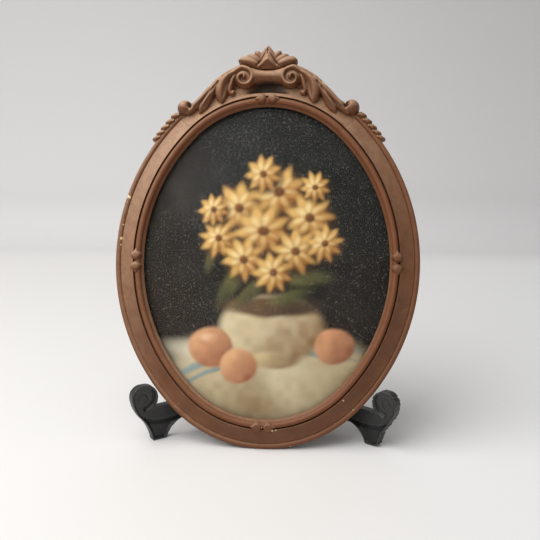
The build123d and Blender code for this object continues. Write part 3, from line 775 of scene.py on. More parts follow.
@dataclass(frozen=True)
class DomedGlass:
    """Old bent glass: clear, with a faint haze and dust specks in patches."""

    tint: str = "#c9c6bd"
    haze: float = 0.01
    speck_mm: float = 4.2
    patch_mm: float = 28.0

    def material(self) -> bpy.types.Material:
        """Build the glass's nodes: mostly see-through, with specks that stop the light."""
        glass, shader, place = new_material("domed_glass")
        tree = glass.node_tree
        cells = add_node(tree, "TexVoronoi", {
            "Vector": place, "Scale": 1 / (self.speck_mm * MM), "Randomness": 1.0,
        })
        patches = add_node(tree, "TexNoise", {
            "Vector": place, "Scale": 1 / (self.patch_mm * MM), "Detail": 3.0, "Roughness": 0.6,
        })
        specks = product(tree, ((cells, 0.075, 0.035, 0.0, 1.0), (patches, 0.46, 0.62, 0.0, 0.3)))
        film = add_node(tree, "MapRange", {
            "Value": patches, "From Min": 0.35, "From Max": 0.7,
            "To Min": self.haze * 0.6, "To Max": self.haze * 1.6,
        })
        set_inputs(tree, shader, {
            "Base Color": self.tint,
            "Alpha": add_node(tree, "Math", {0: film, 1: specks}, operation="ADD"),
            "Roughness": 0.12,
            "IOR": 1.52,
            "Specular IOR Level": 1.0,
            "Coat Weight": 1.0,
            "Coat Roughness": 0.03,
        })
        return glass


@dataclass(frozen=True)
class PrintedCard:
    """Tinted print on satin card: soft pigment, a fine paper tooth and a dusting of light grain."""

    grain: str = "#b9b1a4"
    tooth: str = "#15120f"
    grain_mm: float = 0.55
    speck_mm: float = 1.3

    def material(self) -> bpy.types.Material:
        """Build the card's nodes, which read the painted colour of each point."""
        card, shader, place = new_material("printed_card")
        tree = card.node_tree
        grain = add_node(tree, "TexNoise", {
            "Vector": place, "Scale": 1 / (self.grain_mm * MM), "Detail": 2.0, "Roughness": 0.6,
        })
        specks = add_node(tree, "TexNoise", {
            "Vector": place, "Scale": 1 / (self.speck_mm * MM), "Detail": 1.0, "Roughness": 0.5,
        })
        painted = add_node(tree, "Attribute", attribute_name="still_life").outputs["Color"]
        set_inputs(tree, shader, {
            "Base Color": layered(tree, painted, (
                (grain, 0.6, 0.8, 0.08, self.grain),
                (specks, 0.61, 0.73, 0.2, self.grain),
                (grain, 0.42, 0.2, 0.22, self.tooth),
            )),
            "Roughness": 0.55,
            "Specular IOR Level": 0.15,
            "Normal": add_node(tree, "Bump", {
                "Strength": 0.1, "Distance": 0.04 * MM, "Height": grain,
            }),
        })
        return card


@dataclass(frozen=True)
class Hardboard:
    """Pressed wood-fibre board, dark brown, with a matted fibre pattern and uneven stain."""

    light: str = "#6e5138"
    dark: str = "#3f2c1e"
    fibre_mm: float = 0.9
    stain_mm: float = 45.0

    def material(self) -> bpy.types.Material:
        """Build the board's nodes."""
        board, shader, place = new_material("hardboard")
        tree = board.node_tree
        fibres = add_node(tree, "TexNoise", {
            "Vector": place, "Scale": 1 / (self.fibre_mm * MM), "Detail": 6.0,
            "Roughness": 0.75, "Distortion": 2.2,
        })
        stain = add_node(tree, "TexNoise", {
            "Vector": place, "Scale": 1 / (self.stain_mm * MM), "Detail": 3.0, "Roughness": 0.6,
        })
        tone = add_node(tree, "Math", {0: fibres, 1: stain, 2: stain}, operation="MULTIPLY_ADD")
        set_inputs(tree, shader, {
            "Base Color": layered(tree, self.dark, ((tone, 0.4, 1.25, 1.0, self.light),)),
            "Roughness": 0.78,
            "Normal": add_node(tree, "Bump", {
                "Strength": 0.35, "Distance": 0.15 * MM, "Height": fibres,
            }),
        })
        return board


@dataclass(frozen=True)
class AgedMetal:
    """Sheet or wire metal with tarnish in patches and fine scratches, for the fittings.

    Args of the class: clean and tarnish are its two colours, and roughness its clean polish.
    """

    name: str
    clean: str
    tarnish: str
    roughness: float
    patch_mm: float = 4.0
    scratch_mm: tuple[float, float, float] = (4.0, 0.3, 0.3)

    def material(self) -> bpy.types.Material:
        """Build the metal's nodes."""
        metal, shader, place = new_material(self.name)
        tree = metal.node_tree
        patches = add_node(tree, "TexNoise", {
            "Vector": place, "Scale": 1 / (self.patch_mm * MM), "Detail": 5.0, "Roughness": 0.65,
        })
        mask = add_node(tree, "MapRange", {
            "Value": patches, "From Min": 0.4, "From Max": 0.68,
        })
        scratches = add_node(tree, "TexNoise", {
            "Vector": add_node(tree, "Mapping", {
                "Vector": place, "Scale": tuple(1 / (size * MM) for size in self.scratch_mm),
            }),
            "Scale": 1.0, "Detail": 2.0,
        })
        set_inputs(tree, shader, {
            "Base Color": layered(tree, self.clean, ((mask, self.tarnish),)),
            "Roughness": add_node(tree, "MapRange", {
                "Value": mask, "To Min": self.roughness, "To Max": self.roughness + 0.3,
            }),
            "Metallic": 1.0,
            "Normal": add_node(tree, "Bump", {
                "Strength": 0.2, "Distance": 0.05 * MM, "Height": scratches,
            }),
        })
        return metal


@dataclass
class Moulding:
    """The four mitred rails of the oval, with their beads, groove and hollow face.

    A finely sampled section is carried round the oval; each rail is a closed shell of a quarter
    turn with a fine chamfer at its mitres, so that the joints show as dark lines.
    """

    finish: bpy.types.Material
    stations: int = 245
    mitre_depth: float = 0.16
    mitre_turn: float = 0.0045
    land_out: float = 17.5
    hollow_out: float = 10.1
    land_height: float = 10.0
    face_low: float = 9.0
    recess_depth: float = 3.4
    recess_half_width: float = 13.0
    groove_out: float = 7.1
    rim_out: float = 20.4
    face_step: int = 60
    noise_shift: float = 400.0

    section_runs: tuple = (
        (((-0.02, 9.9), (-0.02, 11.2)), 4, 0.2),
        (((0.05, 11.35), (1.9, 13.35)), 9, 0.35),
        (((2.0, 13.5), (4.3, 16.14), (6.55, 14.4)), 22, 1.0),
        (((6.62, 14.2), (6.7, 13.05)), 4, 0.5),
        (((6.85, 12.96), (7.35, 12.96)), 3, 0.0),
        (((7.5, 13.05), (7.58, 15.2)), 6, 0.1),
        (((7.75, 15.7), (13.2, 12.5), (18.5, 10.3)), 38, 0.0),
        (((18.62, 10.05), (18.68, 9.55)), 3, 0.0),
        (((18.75, 9.6), (20.9, 10.72), (22.95, 9.2)), 20, 0.55),
        (((22.98, 8.9), (22.9, 8.1)), 4, 0.4),
        (((22.6, 7.7), (20.9, 7.3)), 7, 0.1),
        (((20.6, 7.0), (18.82, 0.3)), 18, 0.0),
        (((18.6, 0.02), (6.7, 0.02)), 18, 0.0),
        (((6.52, 0.2), (6.52, 9.6)), 10, 0.0),
        (((6.4, 9.85), (0.15, 9.85)), 8, 0.0),
    )

    def section(self) -> tuple[np.ndarray, np.ndarray]:
        """Closed section from the rebate's corner round the front to the back.

        Every run has its corners as out and w, its number of points, and how red the paint is
        on it. A run of two corners is straight. One of three is a circle's arc, for the beads
        and the shallow hollow of the face.

        Returns:
            out and w of each point, and how red the paint is there.
        """
        points, red = [], []
        for run, count, warmth in self.section_runs:
            corners = arc_through(*run) if len(run) == 3 else np.array(run)
            place, marks = np.linspace(0, len(corners) - 1, count), np.arange(len(corners))
            points.append(np.stack([np.interp(place, marks, axis) for axis in corners.T], 1))
            red.append(np.full(count, warmth))
        return np.concatenate(points), np.concatenate(red)

    def build(self) -> None:
        """Make the four rails."""
        for name, middle in (("right", 0.0), ("top", pi / 2), ("left", pi), ("bottom", -pi / 2)):
            self.rail(name, middle)

    def crest_seat(
        self, span: np.ndarray, u: np.ndarray, out: np.ndarray, w: np.ndarray
    ) -> tuple[np.ndarray, np.ndarray]:
        """Level the top rail's face where the crest lies on it, and sink a pit at its middle.

        Args:
            span: angle of each station from the rail's middle, in degrees.
            u: place of each point across the frame.
            out: distance of each point outside the sight edge.
            w: height of each point.

        Returns:
            The new heights, and how much of the pit each point has, which the rail paints as
            shadow.
        """
        under = smoothstep(self.land_out - 0.5, self.land_out + 0.3, out)
        under = under * (1 - smoothstep(43.8, 44.3, span))
        sunk = smoothstep(self.hollow_out - 0.2, self.hollow_out + 2.4, out)
        sunk = sunk * (1 - smoothstep(8.0, 13.5, span))
        level = w + (self.land_height - w) * np.maximum(under, sunk)
        w = np.where(w > self.face_low, level, w)
        pit = np.exp(-((u / self.recess_half_width) ** 4)) * smoothstep(9.8, 13.2, out)
        pit = pit * (w > self.face_low)
        return w - self.recess_depth * pit, pit

    def rail(self, name: str, middle: float) -> None:
        """One rail: the section carried over a quarter turn about its own arc's centre.

        The surface is points(turn, step of the section). The front dips by the mitre's depth
        over the last half millimetre, and a flat face closes each end.
        """
        section, red = self.section()
        turns = middle + radians(45) * np.linspace(-1, 1, self.stations)
        edge = np.minimum(np.abs(turns - turns[0]), np.abs(turns - turns[-1]))
        out = np.tile(section[:, 0], (self.stations, 1))
        w = np.tile(section[:, 1], (self.stations, 1))
        dip = self.mitre_depth * (1 - smoothstep(0.0, self.mitre_turn, edge))[:, None]
        w = w - dip * smoothstep(8.6, 10.5, w)
        within = radians(44.99)
        u, v = OVAL.at(np.clip(turns, middle - within, middle + within)[:, None], out)
        pit = np.zeros_like(w)
        if name == "top":
            w, pit = self.crest_seat(np.abs(np.degrees(turns - middle))[:, None], u, out, w)
        x, y = u + self.noise_shift, v + self.noise_shift
        swell = (cloud(x, y, 13.0, 3) - 0.5) * 0.26 + (cloud(x, y, 4.1, 4) - 0.5) * 0.1
        w = w - np.abs(swell) * smoothstep(9.0, 11.0, w)
        points = PLANE.place(np.stack([u, v, w], -1)).reshape(-1, 3)
        rows, columns = w.shape
        run = np.stack([u[:, self.face_step], v[:, self.face_step]])
        along = np.cumsum(np.r_[0, np.hypot(*np.diff(run, axis=1))])
        across = np.cumsum(np.r_[0, np.hypot(*np.diff(section, axis=0).T)])
        uv = MM * np.stack(np.broadcast_arrays(along[:, None], across[None, :]), -1)
        quads = grid_quads(rows, columns, wrap_columns=True)
        out_at, w_at = section.T
        # Painted shade darkens the groove between the inner bead and the face
        groove = (w_at < 13.2) & (np.abs(out_at - self.groove_out) < 0.7)
        wood = (out_at <= self.rim_out) & ((w_at < 7.0) | (out_at < 0.3) & (w_at < 11.0))
        # Painted shadow: the pit under the bolster is added to the hollow attribute
        hollow = hollowness(points, quads, 0.45 * MM) + pit.ravel()
        make_piece(
            f"painted_rail_{name}", points, tube_faces(rows, columns), self.finish,
            Body.FRAME.value, (f"rail_{name}",), uv.reshape(-1, 2),
            {"hollow": hollow + np.tile(groove, rows) * 0.9, "warmth": np.tile(red, rows),
             "bare": np.tile(wood, rows)}, 55,
        )


# How far below its base a lobe or dome reaches, in millimetres
FOOT_DEPTH = 2.5


@dataclass(frozen=True)
class Lobe:
    """A carved leaf or scroll: rows of u, v, half width and crown, and the height of its foot."""

    rows: tuple
    base: float = 9.0
    samples: int = 40
    sides: int = 16
    least_half: float = 0.15
    arch_power: float = 0.62

    def shell(self) -> tuple[np.ndarray, list]:
        """Closed shell: a rounded arch carried along the smooth run of the rows.

        Across, the point lies at half width times cos(angle). Its height is the base plus the
        crown's rise times a low power of the sine, so the lobe stands up steeply and has a
        round top.
        """
        run = smooth_run(self.rows, self.samples)
        heading = np.gradient(run[:, :2], axis=0)
        heading /= np.maximum(np.linalg.norm(heading, axis=1), 1e-9)[:, None]
        side = np.stack([heading[:, 1], -heading[:, 0]], 1)
        angle = np.linspace(0, pi, self.sides)
        reach, lift = np.cos(angle), np.sin(angle) ** self.arch_power
        out = np.maximum(run[:, 2], self.least_half)[:, None] * reach
        flat = run[:, None, :2] + side[:, None, :] * out[..., None]
        w = self.base + (run[:, 3] - self.base)[:, None] * lift
        grid = np.concatenate([flat, w[..., None]], -1)
        foot = grid[:, [0, -1], :].copy()
        foot[..., 2] = self.base - FOOT_DEPTH
        grid = np.concatenate([foot[:, :1], grid, foot[:, 1:]], axis=1)
        return PLANE.place(grid.reshape(-1, 3)), tube_faces(*grid.shape[:2])


@dataclass(frozen=True)
class Dome:
    """A carved ball or drop: a superellipsoid on an oval foot, turned by an angle in degrees."""

    u: float
    v: float
    half_length: float
    half_width: float
    base: float
    crown: float
    turn: float = 0.0
    power: float = 1.0

    def shell(self) -> tuple[np.ndarray, list]:
        """Closed shell: rings shrink by a power of the cosine and rise by the sine."""
        level = np.linspace(0, pi / 2, 14)[:-1]
        around = np.linspace(0, 2 * pi, 32, endpoint=False)
        size = np.cos(level) ** self.power
        x = self.half_length * size[:, None] * np.cos(around)
        y = self.half_width * size[:, None] * np.sin(around)
        w = self.base + (self.crown - self.base) * np.sin(level)[:, None] * np.ones_like(around)
        x, y, w = (np.vstack([row[:1], row]) for row in (x, y, w))
        w[0] = self.base - FOOT_DEPTH
        c, s = cos(radians(self.turn)), sin(radians(self.turn))
        grid = np.stack([self.u + x * c - y * s, self.v + x * s + y * c, w], -1)
        top = np.array([[self.u, self.v, self.crown]])
        points = np.concatenate([grid.reshape(-1, 3), top])
        rows, columns = grid.shape[:2]
        faces = tube_faces(rows, columns)[:-1]
        return PLANE.place(points), faces + fan((rows - 1) * columns, columns, len(points) - 1)


def flat_of(points: np.ndarray) -> np.ndarray:
    """Turn places in metres back into flat frame coordinates in millimetres."""
    y, z = PLANE.centre
    tilt, rise = sin(PLANE.lean), cos(PLANE.lean)
    p = points / MM
    dy, dz = p[:, 1] - y, p[:, 2] - z
    return np.stack([p[:, 0], dy * tilt + dz * rise, -dy * rise + dz * tilt], 1)


def deepest(run: np.ndarray, flat: np.ndarray, power: float) -> np.ndarray:
    """Depth that a run of u, v, width and depth presses at each place.

    Every sample of the run presses a bell, its depth times exp of minus (distance / width) to
    a power, and the deepest counts.
    """
    apart = np.hypot(flat[:, None, 0] - run[None, :, 0], flat[:, None, 1] - run[None, :, 1])
    return np.max(run[None, :, 3] * np.exp(-((apart / run[None, :, 2]) ** power)), axis=1)


@dataclass(frozen=True)
class Press:
    """A gouge in carving: a round-bottomed dip along a short run of u, v, width and depth."""

    rows: tuple

    def depth_at(self, flat: np.ndarray) -> np.ndarray:
        """Depth of the dip at each place: the deepest bell of the run's dense samples there."""
        return deepest(smooth_run(self.rows, 20 * len(self.rows)), flat, 2.0)


@dataclass
class Carving:
    """A cast ornament: lobes and domes melted into one skin, smoothed, then gouged.

    Its side is -1 where the gouges are pressed in as their mirror image.
    """

    name: str
    shells: list[tuple[np.ndarray, list]]
    nodes: tuple[str, ...]
    finish: bpy.types.Material
    presses: tuple[Press, ...] = ()
    voxel_mm: float = 0.42
    rounds: int = 3
    floor_mm: float = 7.2
    warmth: float = 0.0
    side: int = 1
    gouged_mm: float = 11.0
    lowest_mm: float = 3.0

    def build(self) -> None:
        """Cast, smooth, gouge and place the ornament."""
        points, quads = cast_together(self.shells, self.voxel_mm * MM)
        points = relaxed(points, edge_pairs(quads), self.rounds, 0.5)
        flat = flat_of(points)
        dip = np.zeros(len(flat))
        for press in self.presses:
            raised = smoothstep(self.floor_mm, self.gouged_mm, flat[:, 2])
            dip += press.depth_at(flat * [self.side, 1, 1]) * raised
        flat[:, 2] = np.maximum(flat[:, 2] - dip, self.lowest_mm)
        points = np.clip(PLANE.place(flat), *CAD_BOX)
        # Painted shade: each gouge's depth darkens the paint there
        hollow = np.clip(hollowness(points, quads, 0.5 * MM) + 0.2 * dip, -1, 1)
        make_piece(
            self.name, points, quads, self.finish, Body.FRAME.value, self.nodes,
            MM * flat[:, :2],
            {"hollow": hollow, "warmth": np.full(len(points), self.warmth),
             "bare": np.zeros(len(points))}, 180,
        )


@dataclass
class Crest:
    """The carved crest: two scrolls with leaves and ball curls, a bolster, a shell, a ground."""

    finish: bpy.types.Material
    volute_centre: tuple[float, float] = (18.7, 142.2)
    shoulder: tuple = (
        (63.4, 115.4, 2.4, 15.6), (60.6, 117.6, 3.0, 16.4), (57.2, 120.7, 3.3, 17.2),
        (52.1, 125.2, 3.6, 18.0), (47.2, 130.4, 3.8, 18.3), (41.9, 135.7, 3.9, 18.5),
        (37.0, 140.4, 4.0, 18.6), (31.6, 144.2, 4.0, 18.8), (26.4, 147.4, 3.6, 19.0),
    )
    coil: tuple = (
        (70, 8.2, 3.0, 19.4), (90, 8.1, 2.7, 19.8), (135, 7.6, 2.6, 20.3), (180, 6.9, 2.5, 20.8),
        (225, 6.1, 2.2, 21.0), (270, 5.3, 1.9, 21.1), (315, 4.5, 1.75, 21.2),
        (360, 3.7, 1.65, 21.5), (405, 3.0, 1.55, 21.8), (450, 2.4, 1.5, 22.0),
        (495, 1.6, 1.5, 22.2), (540, 0.8, 1.6, 22.3),
    )
    big_leaf: tuple = (
        (23.6, 148.0, 1.2, 18.6), (28.8, 145.4, 2.8, 20.0), (33.0, 141.0, 4.1, 20.6),
        (35.3, 135.0, 4.9, 20.4), (36.0, 129.7, 4.7, 19.6), (35.7, 125.5, 3.3, 18.4),
        (35.2, 122.5, 0.5, 16.0),
    )
    slim_leaf: tuple = (
        (37.0, 141.6, 1.0, 17.6), (40.5, 137.2, 2.1, 19.3), (44.1, 131.2, 2.9, 19.8),
        (47.6, 125.0, 3.5, 19.2), (50.2, 120.1, 3.3, 17.8), (52.2, 116.8, 1.9, 16.2),
        (53.2, 115.0, 0.4, 14.4),
    )
    curl: tuple = (
        (24.4, 146.0, 0.9, 17.5), (26.9, 141.8, 1.7, 18.6), (28.3, 137.0, 2.1, 18.6),
        (29.2, 133.2, 2.0, 18.0), (28.4, 130.8, 1.7, 17.6), (26.6, 131.0, 1.5, 17.6),
        (26.1, 132.8, 1.3, 17.6),
    )
    petals: tuple = (
        ((0.0, 149.6, 9.2, 15.4), (0.0, 153.4, 8.6, 16.6), (0.0, 157.4, 7.5, 17.5),
         (0.0, 161.4, 5.9, 17.5), (0.0, 164.8, 3.9, 16.9), (0.0, 167.2, 1.8, 16.0),
         (0.0, 168.4, 0.5, 14.8)),
        ((2.5, 153.0, 2.0, 13.6), (5.4, 158.0, 2.9, 15.2), (7.7, 161.5, 2.9, 15.8),
         (9.2, 163.2, 2.2, 15.1), (10.0, 164.2, 0.5, 14.0)),
        ((4.0, 152.5, 2.2, 14.6), (8.8, 156.6, 3.2, 16.9), (12.4, 159.0, 3.1, 16.9),
         (14.8, 160.2, 2.2, 15.9), (16.2, 160.7, 0.5, 14.2)),
        ((5.5, 151.0, 2.6, 15.4), (10.6, 153.7, 3.9, 18.2), (16.0, 155.6, 4.3, 18.9),
         (20.2, 156.4, 3.5, 18.0), (23.0, 156.4, 1.0, 15.6)),
        ((8.0, 150.4, 1.8, 12.0), (12.0, 151.7, 2.5, 13.0), (17.6, 152.8, 2.6, 13.0),
         (21.0, 153.2, 2.1, 12.6), (23.0, 153.4, 0.6, 12.0)),
    )
    gouges: tuple = (
        Press(((29.0, 142.6, 1.3, 0.9), (32.0, 137.6, 1.6, 1.6), (33.6, 131.6, 1.5, 1.4),
               (34.6, 126.8, 0.9, 0.6))),
        Press(((41.4, 134.8, 0.8, 0.6), (44.6, 127.8, 1.2, 1.3), (47.6, 122.0, 1.1, 1.1),
               (50.4, 118.2, 0.7, 0.4))),
        Press(((38.4, 139.2, 0.9, 1.0), (44.6, 131.8, 1.1, 1.5), (50.6, 124.9, 1.2, 1.4),
               (56.4, 119.6, 1.1, 1.0))),
        Press(((61.0, 121.4, 1.7, 4.2), (61.6, 123.0, 1.2, 3.4), (60.2, 119.9, 0.9, 2.2))),
        Press(((23.6, 150.6, 0.8, 0.6), (29.4, 147.6, 1.0, 0.9), (34.8, 143.6, 1.0, 0.8))),
    )
    fluting: tuple = (
        (0.9, 164.0, 0.4, 0.4), (2.6, 160.4, 0.5, 0.7), (5.2, 156.6, 0.6, 0.9),
        (8.8, 151.8, 0.6, 1.0),
    )
    middle_flute: tuple = ((0.0, 166.6, 0.5, 0.6), (0.0, 164.0, 0.8, 1.1), (0.0, 161.6, 0.7, 0.8))
    drop_rim: tuple = (
        (0.0, 161.4, 17.6), (4.0, 156.2, 17.4), (8.4, 150.2, 15.6), (4.4, 149.0, 13.0),
        (0.0, 148.4, 12.4), (-4.4, 149.0, 13.0), (-8.4, 150.2, 15.6), (-4.0, 156.2, 17.4),
    )
    drop_peak: tuple[float, float, float] = (0.0, 156.0, 20.6)
    recess: tuple = ((-14.0, 136.2, 4.0, 3.0), (0.0, 138.6, 5.0, 4.2), (14.0, 136.2, 4.0, 3.0))
    ball: Dome = Dome(65.0, 120.4, 6.3, 6.3, 8.0, 18.6, 0, 0.9)
    eye: Dome = Dome(17.9, 142.3, 1.9, 1.9, 12.0, 22.0)
    boss: Dome = Dome(18.7, 142.2, 7.0, 7.0, 12.0, 18.2, 0, 0.35)
    roll_half: float = 12.6
    roll_waist: float = 4.3
    roll_flare: float = 2.5
    roll_run: float = 6.2
    roll_centre: tuple[float, float] = (144.2, 14.0)
    roll_flatness: float = 0.95
    foot: float = 9.0
    ground_low: float = 3.0
    ground_high: float = 10.0
    ground_outline: tuple = (
        (0.0, 166.8), (4.3, 164.0), (7.6, 164.2), (10.2, 161.4), (15.6, 159.4), (20.0, 158.6),
        (22.2, 156.2), (22.8, 153.0), (23.8, 151.2), (29.2, 148.7), (34.2, 146.0), (39.0, 142.5),
        (44.0, 137.5), (49.0, 132.0), (54.0, 126.8), (59.4, 121.6), (56.6, 115.6), (49.0, 119.4),
        (40.0, 125.6), (30.0, 131.0), (20.0, 134.8), (10.0, 137.2), (0.0, 138.2),
    )

    def build(self) -> None:
        """Cast every piece of the crest, the right one and its mirror image."""
        for side in Side:
            self.scroll(side)
        self.bolster()
        self.shell()
        self.ground()

    def scroll(self, side: Side) -> None:
        """One scroll: the shoulder runs on into the volute, and leaves fall from its inner edge."""
        across = np.array([side.value, 1, 1, 1])
        coil = np.array(self.coil, dtype=float)
        turn = np.radians(coil[:, 0])
        spiral = np.stack([
            self.volute_centre[0] + coil[:, 1] * np.cos(turn),
            self.volute_centre[1] + coil[:, 1] * np.sin(turn), coil[:, 2], coil[:, 3],
        ], 1)
        run = np.vstack([np.array(self.shoulder), spiral]) * across
        shells = [Lobe(run, self.foot, 240, 18).shell()]
        for rows, base in ((self.big_leaf, 11.0), (self.slim_leaf, 10.5), (self.curl, 10.5)):
            shells.append(Lobe(np.array(rows) * across, base, 60, 18).shell())
        for dome in (self.ball, self.eye, self.boss):
            shells.append(replace(dome, u=dome.u * side.value).shell())
        name = side.name.lower()
        Carving(
            f"crest_scroll_carving_{name}", shells, (f"crest_scroll_{name}",), self.finish,
            self.gouges, side=side.value,
        ).build()

    def bolster(self) -> None:
        """Waisted roll between the volutes, whose radius grows from its waist as a cosh of u."""
        u = np.linspace(-self.roll_half, self.roll_half, 60)
        around = np.linspace(0, 2 * pi, 48, endpoint=False)
        most = np.cosh(self.roll_half / self.roll_run) - 1
        radius = self.roll_waist + self.roll_flare * (np.cosh(u / self.roll_run) - 1) / most
        v = self.roll_centre[0] + radius[:, None] * np.cos(around)
        w = self.roll_centre[1] + self.roll_flatness * radius[:, None] * np.sin(around)
        grid = np.stack([np.broadcast_to(u[:, None], v.shape), v, w], -1)
        shells = [(PLANE.place(grid.reshape(-1, 3)), tube_faces(*v.shape))]
        Carving(
            "crest_bolster_carving", shells, ("crest_bolster",), self.finish, rounds=5
        ).build()

    def shell(self) -> None:
        """Shell of petals with the faceted drop at its root."""
        shells = []
        for index, rows in enumerate(self.petals):
            for side in Side:
                if index or side is Side.RIGHT:
                    petal = np.array(rows) * [side.value, 1, 1, 1]
                    shells.append(Lobe(petal, self.foot, 50, 16).shell())
        rim = np.array(self.drop_rim)
        count = len(rim)
        low = np.c_[rim[:, :2], np.full(count, self.foot)]
        points = np.concatenate([low, rim, [self.drop_peak]])
        faces = tube_faces(2, count)[:-1] + fan(count, count, 2 * count)
        shells.append((PLANE.place(points), faces))
        fluting = np.array(self.fluting)
        presses = (
            Press(fluting * [-1, 1, 1, 1]), Press(fluting), Press(self.middle_flute),
        )
        Carving(
            "crest_shell_carving", shells, ("crest_palmette",), self.finish, presses, 0.36, 4
        ).build()

    def ground(self) -> None:
        """Flat ground behind the carving, cut to its outline."""
        right = np.array(self.ground_outline)
        left = right[1:-1][::-1] * [-1, 1]
        points, faces = prism(np.concatenate([right, left]), self.ground_low, self.ground_high)
        Carving(
            "crest_ground_carving", [(PLANE.place(points), faces)], ("crest_ground",),
            self.finish, (Press(self.recess),), 0.7, 2, self.ground_low,
        ).build()


@dataclass
class Beads:
    """Sprigs of beads on the outer rim and double knots over the inner bead."""

    finish: bpy.types.Material
    sprig_turns: tuple = (44.6, 42.4, 40.3, 38.3, 36.5)
    bead_mm: float = 3.2
    bead_taper: float = 0.05
    bead_base: float = 4.6
    bead_parts: tuple = ((24.0, 0.0, 1.0, 12.8), (22.6, 0.7, 0.6, 12.9), (25.6, -0.6, 0.6, 11.2))
    bud: tuple = (5.4, 4.3, 4.5, 4.1, 11.0, 18.5)
    tail: tuple = (
        (5.4, 0.7, 1.9, 17.0), (5.4, 3.2, 3.4, 18.0), (5.3, 6.2, 3.2, 17.9), (5.1, 8.4, 1.7, 17.2),
        (4.9, 10.2, 0.3, 16.1),
    )

    def build(self) -> None:
        """Cast both sprigs and the four knots."""
        for side in Side:
            self.sprig(side)
        for name, turn in (("right", 0.0), ("top", 90.0), ("left", 180.0), ("bottom", -90.0)):
            self.knot(name, turn)

    def sprig(self, side: Side) -> None:
        """Five leafy beads, each a big dome with two small ones at its inner foot."""
        shells = []
        for index, turn in enumerate(self.sprig_turns):
            angle = radians(turn)
            size = self.bead_mm * (1 - self.bead_taper * index)
            for out, shift, share, crown in self.bead_parts:
                u, v = OVAL.at(np.array(angle + radians(shift)), np.array(out))
                shells.append(Dome(
                    float(u) * side.value, float(v), size * share * 0.92, size * share * 1.2,
                    self.bead_base, crown - 0.25 * index, (turn + 12) * side.value, 0.75,
                ).shell())
        name = side.name.lower()
        Carving(
            f"bead_sprig_carving_{name}", shells, (f"bead_sprig_{name}",), self.finish, (), 0.4,
            2, 4.0,
        ).build()

    def knot(self, name: str, turn: float) -> None:
        """Two buds side by side along the bead, each with a tail that tapers onto the bead."""
        angle = radians(turn)
        upright = name in ("left", "right")
        half_axis = OVAL.sight_half_width if upright else OVAL.sight_half_height
        out = np.array([cos(angle), sin(angle)])
        along = np.array([-sin(angle), cos(angle)])
        reach, aside, half_length, half_width, base, crown = self.bud
        shells = []
        for way in (-1, 1):
            u, v = (half_axis + reach) * out + aside * way * along
            shells.append(Dome(u, v, half_length, half_width, base, crown, turn, 0.5).shell())
            tail = [
                (*((half_axis + far) * out + place * way * along), half, top)
                for far, place, half, top in self.tail
            ]
            shells.append(Lobe(tuple(tail), base, 40, 14).shell())
        Carving(
            f"double_knot_{name}", shells, (f"knot_{name}",), self.finish, (), 0.3, 2, 11.0, 0.35
        ).build()


@dataclass(frozen=True)
class Plate:
    """A plate in the rebate, with the height of its back and its points along each side."""

    name: str
    node: str
    slot: str
    finish: DomedGlass | PrintedCard | Hardboard
    back: float
    thick: float
    count: int
    domed: bool = True
    painted: bool = False


@dataclass
class Glazing:
    """The domed glass, the domed print behind it and the backing board."""

    bulge: float = 10.0
    sphere_radius: float = 521.1
    stretch: float = 0.8
    margin: float = 6.0
    card_rear: tuple[float, float, float, float] = (0.62, 0.58, 0.5, 0.0)
    plates: tuple[Plate, ...] = (
        Plate("bent_glass", "glass", "clear_glass", DomedGlass(), 6.4, 2.0, 131),
        Plate("still_life_print", "print_card", "printed_card", PrintedCard(), 5.3, 0.8, 241,
              painted=True),
        Plate("hardboard_back", "backing_board", "board_wood", Hardboard(), 0.06, 4.9, 91,
              domed=False),
    )

    def dome(self, u: np.ndarray, v: np.ndarray) -> np.ndarray:
        """Rise of the dome: a sphere's cap over u and the shortened v, less its sagitta."""
        out = np.hypot(u, self.stretch * v)
        return self.bulge - (self.sphere_radius - np.sqrt(self.sphere_radius**2 - out**2))

    def build(self) -> None:
        """Make every plate."""
        for plate in self.plates:
            self.plate(plate)

    def plate(self, plate: Plate) -> None:
        """One plate: a front and a back sheet of the same oval grid, joined round their edge.

        A domed plate rises by the dome, and the board stays flat. The print has a colour
        painted on each point of its front, and plain card on its back.
        """
        count, finish = plate.count, plate.finish.material()
        u, v = OVAL.sheet(self.margin, count)
        rise = self.dome(u, v) if plate.domed else np.zeros_like(u)
        front = np.stack([u, v, plate.back + plate.thick + rise], -1).reshape(-1, 3)
        rear = np.stack([u, v, plate.back + rise], -1).reshape(-1, 3)
        index = np.arange(count * count).reshape(count, count)
        rim = np.concatenate([index[0, :-1], index[:-1, -1], index[-1, :0:-1], index[:0:-1, 0]])
        ahead, behind = np.roll(rim, -1), count * count
        sheet = grid_quads(count, count)
        edge = np.stack([rim, ahead, ahead + behind, rim + behind], 1)
        quads = np.concatenate([sheet, sheet[:, ::-1] + behind, edge])
        piece = make_piece(
            plate.name, PLANE.place(np.concatenate([front, rear])), quads, finish,
            Body.FRAME.value, (plate.node,), sharp=35,
        )
        if plate.painted:
            colours = StillLife().paint(u.ravel(), v.ravel())
            layer = piece.data.color_attributes.new("still_life", "FLOAT_COLOR", "POINT")
            plain = colours * [0.0, 0.0, 0.0, 1.0] + self.card_rear
            both = np.concatenate([colours, plain])
            layer.data.foreach_set("color", both.astype(np.float32).ravel())


@dataclass(frozen=True)
class Blot:
    """A soft patch of paint: an oval with a light and a dark side, an edge blur and a turn."""

    u: float
    v: float
    half_width: float
    half_height: float
    light: str
    dark: str
    blur: float = 0.2
    turn: float = 0.0
    petals: int = 0


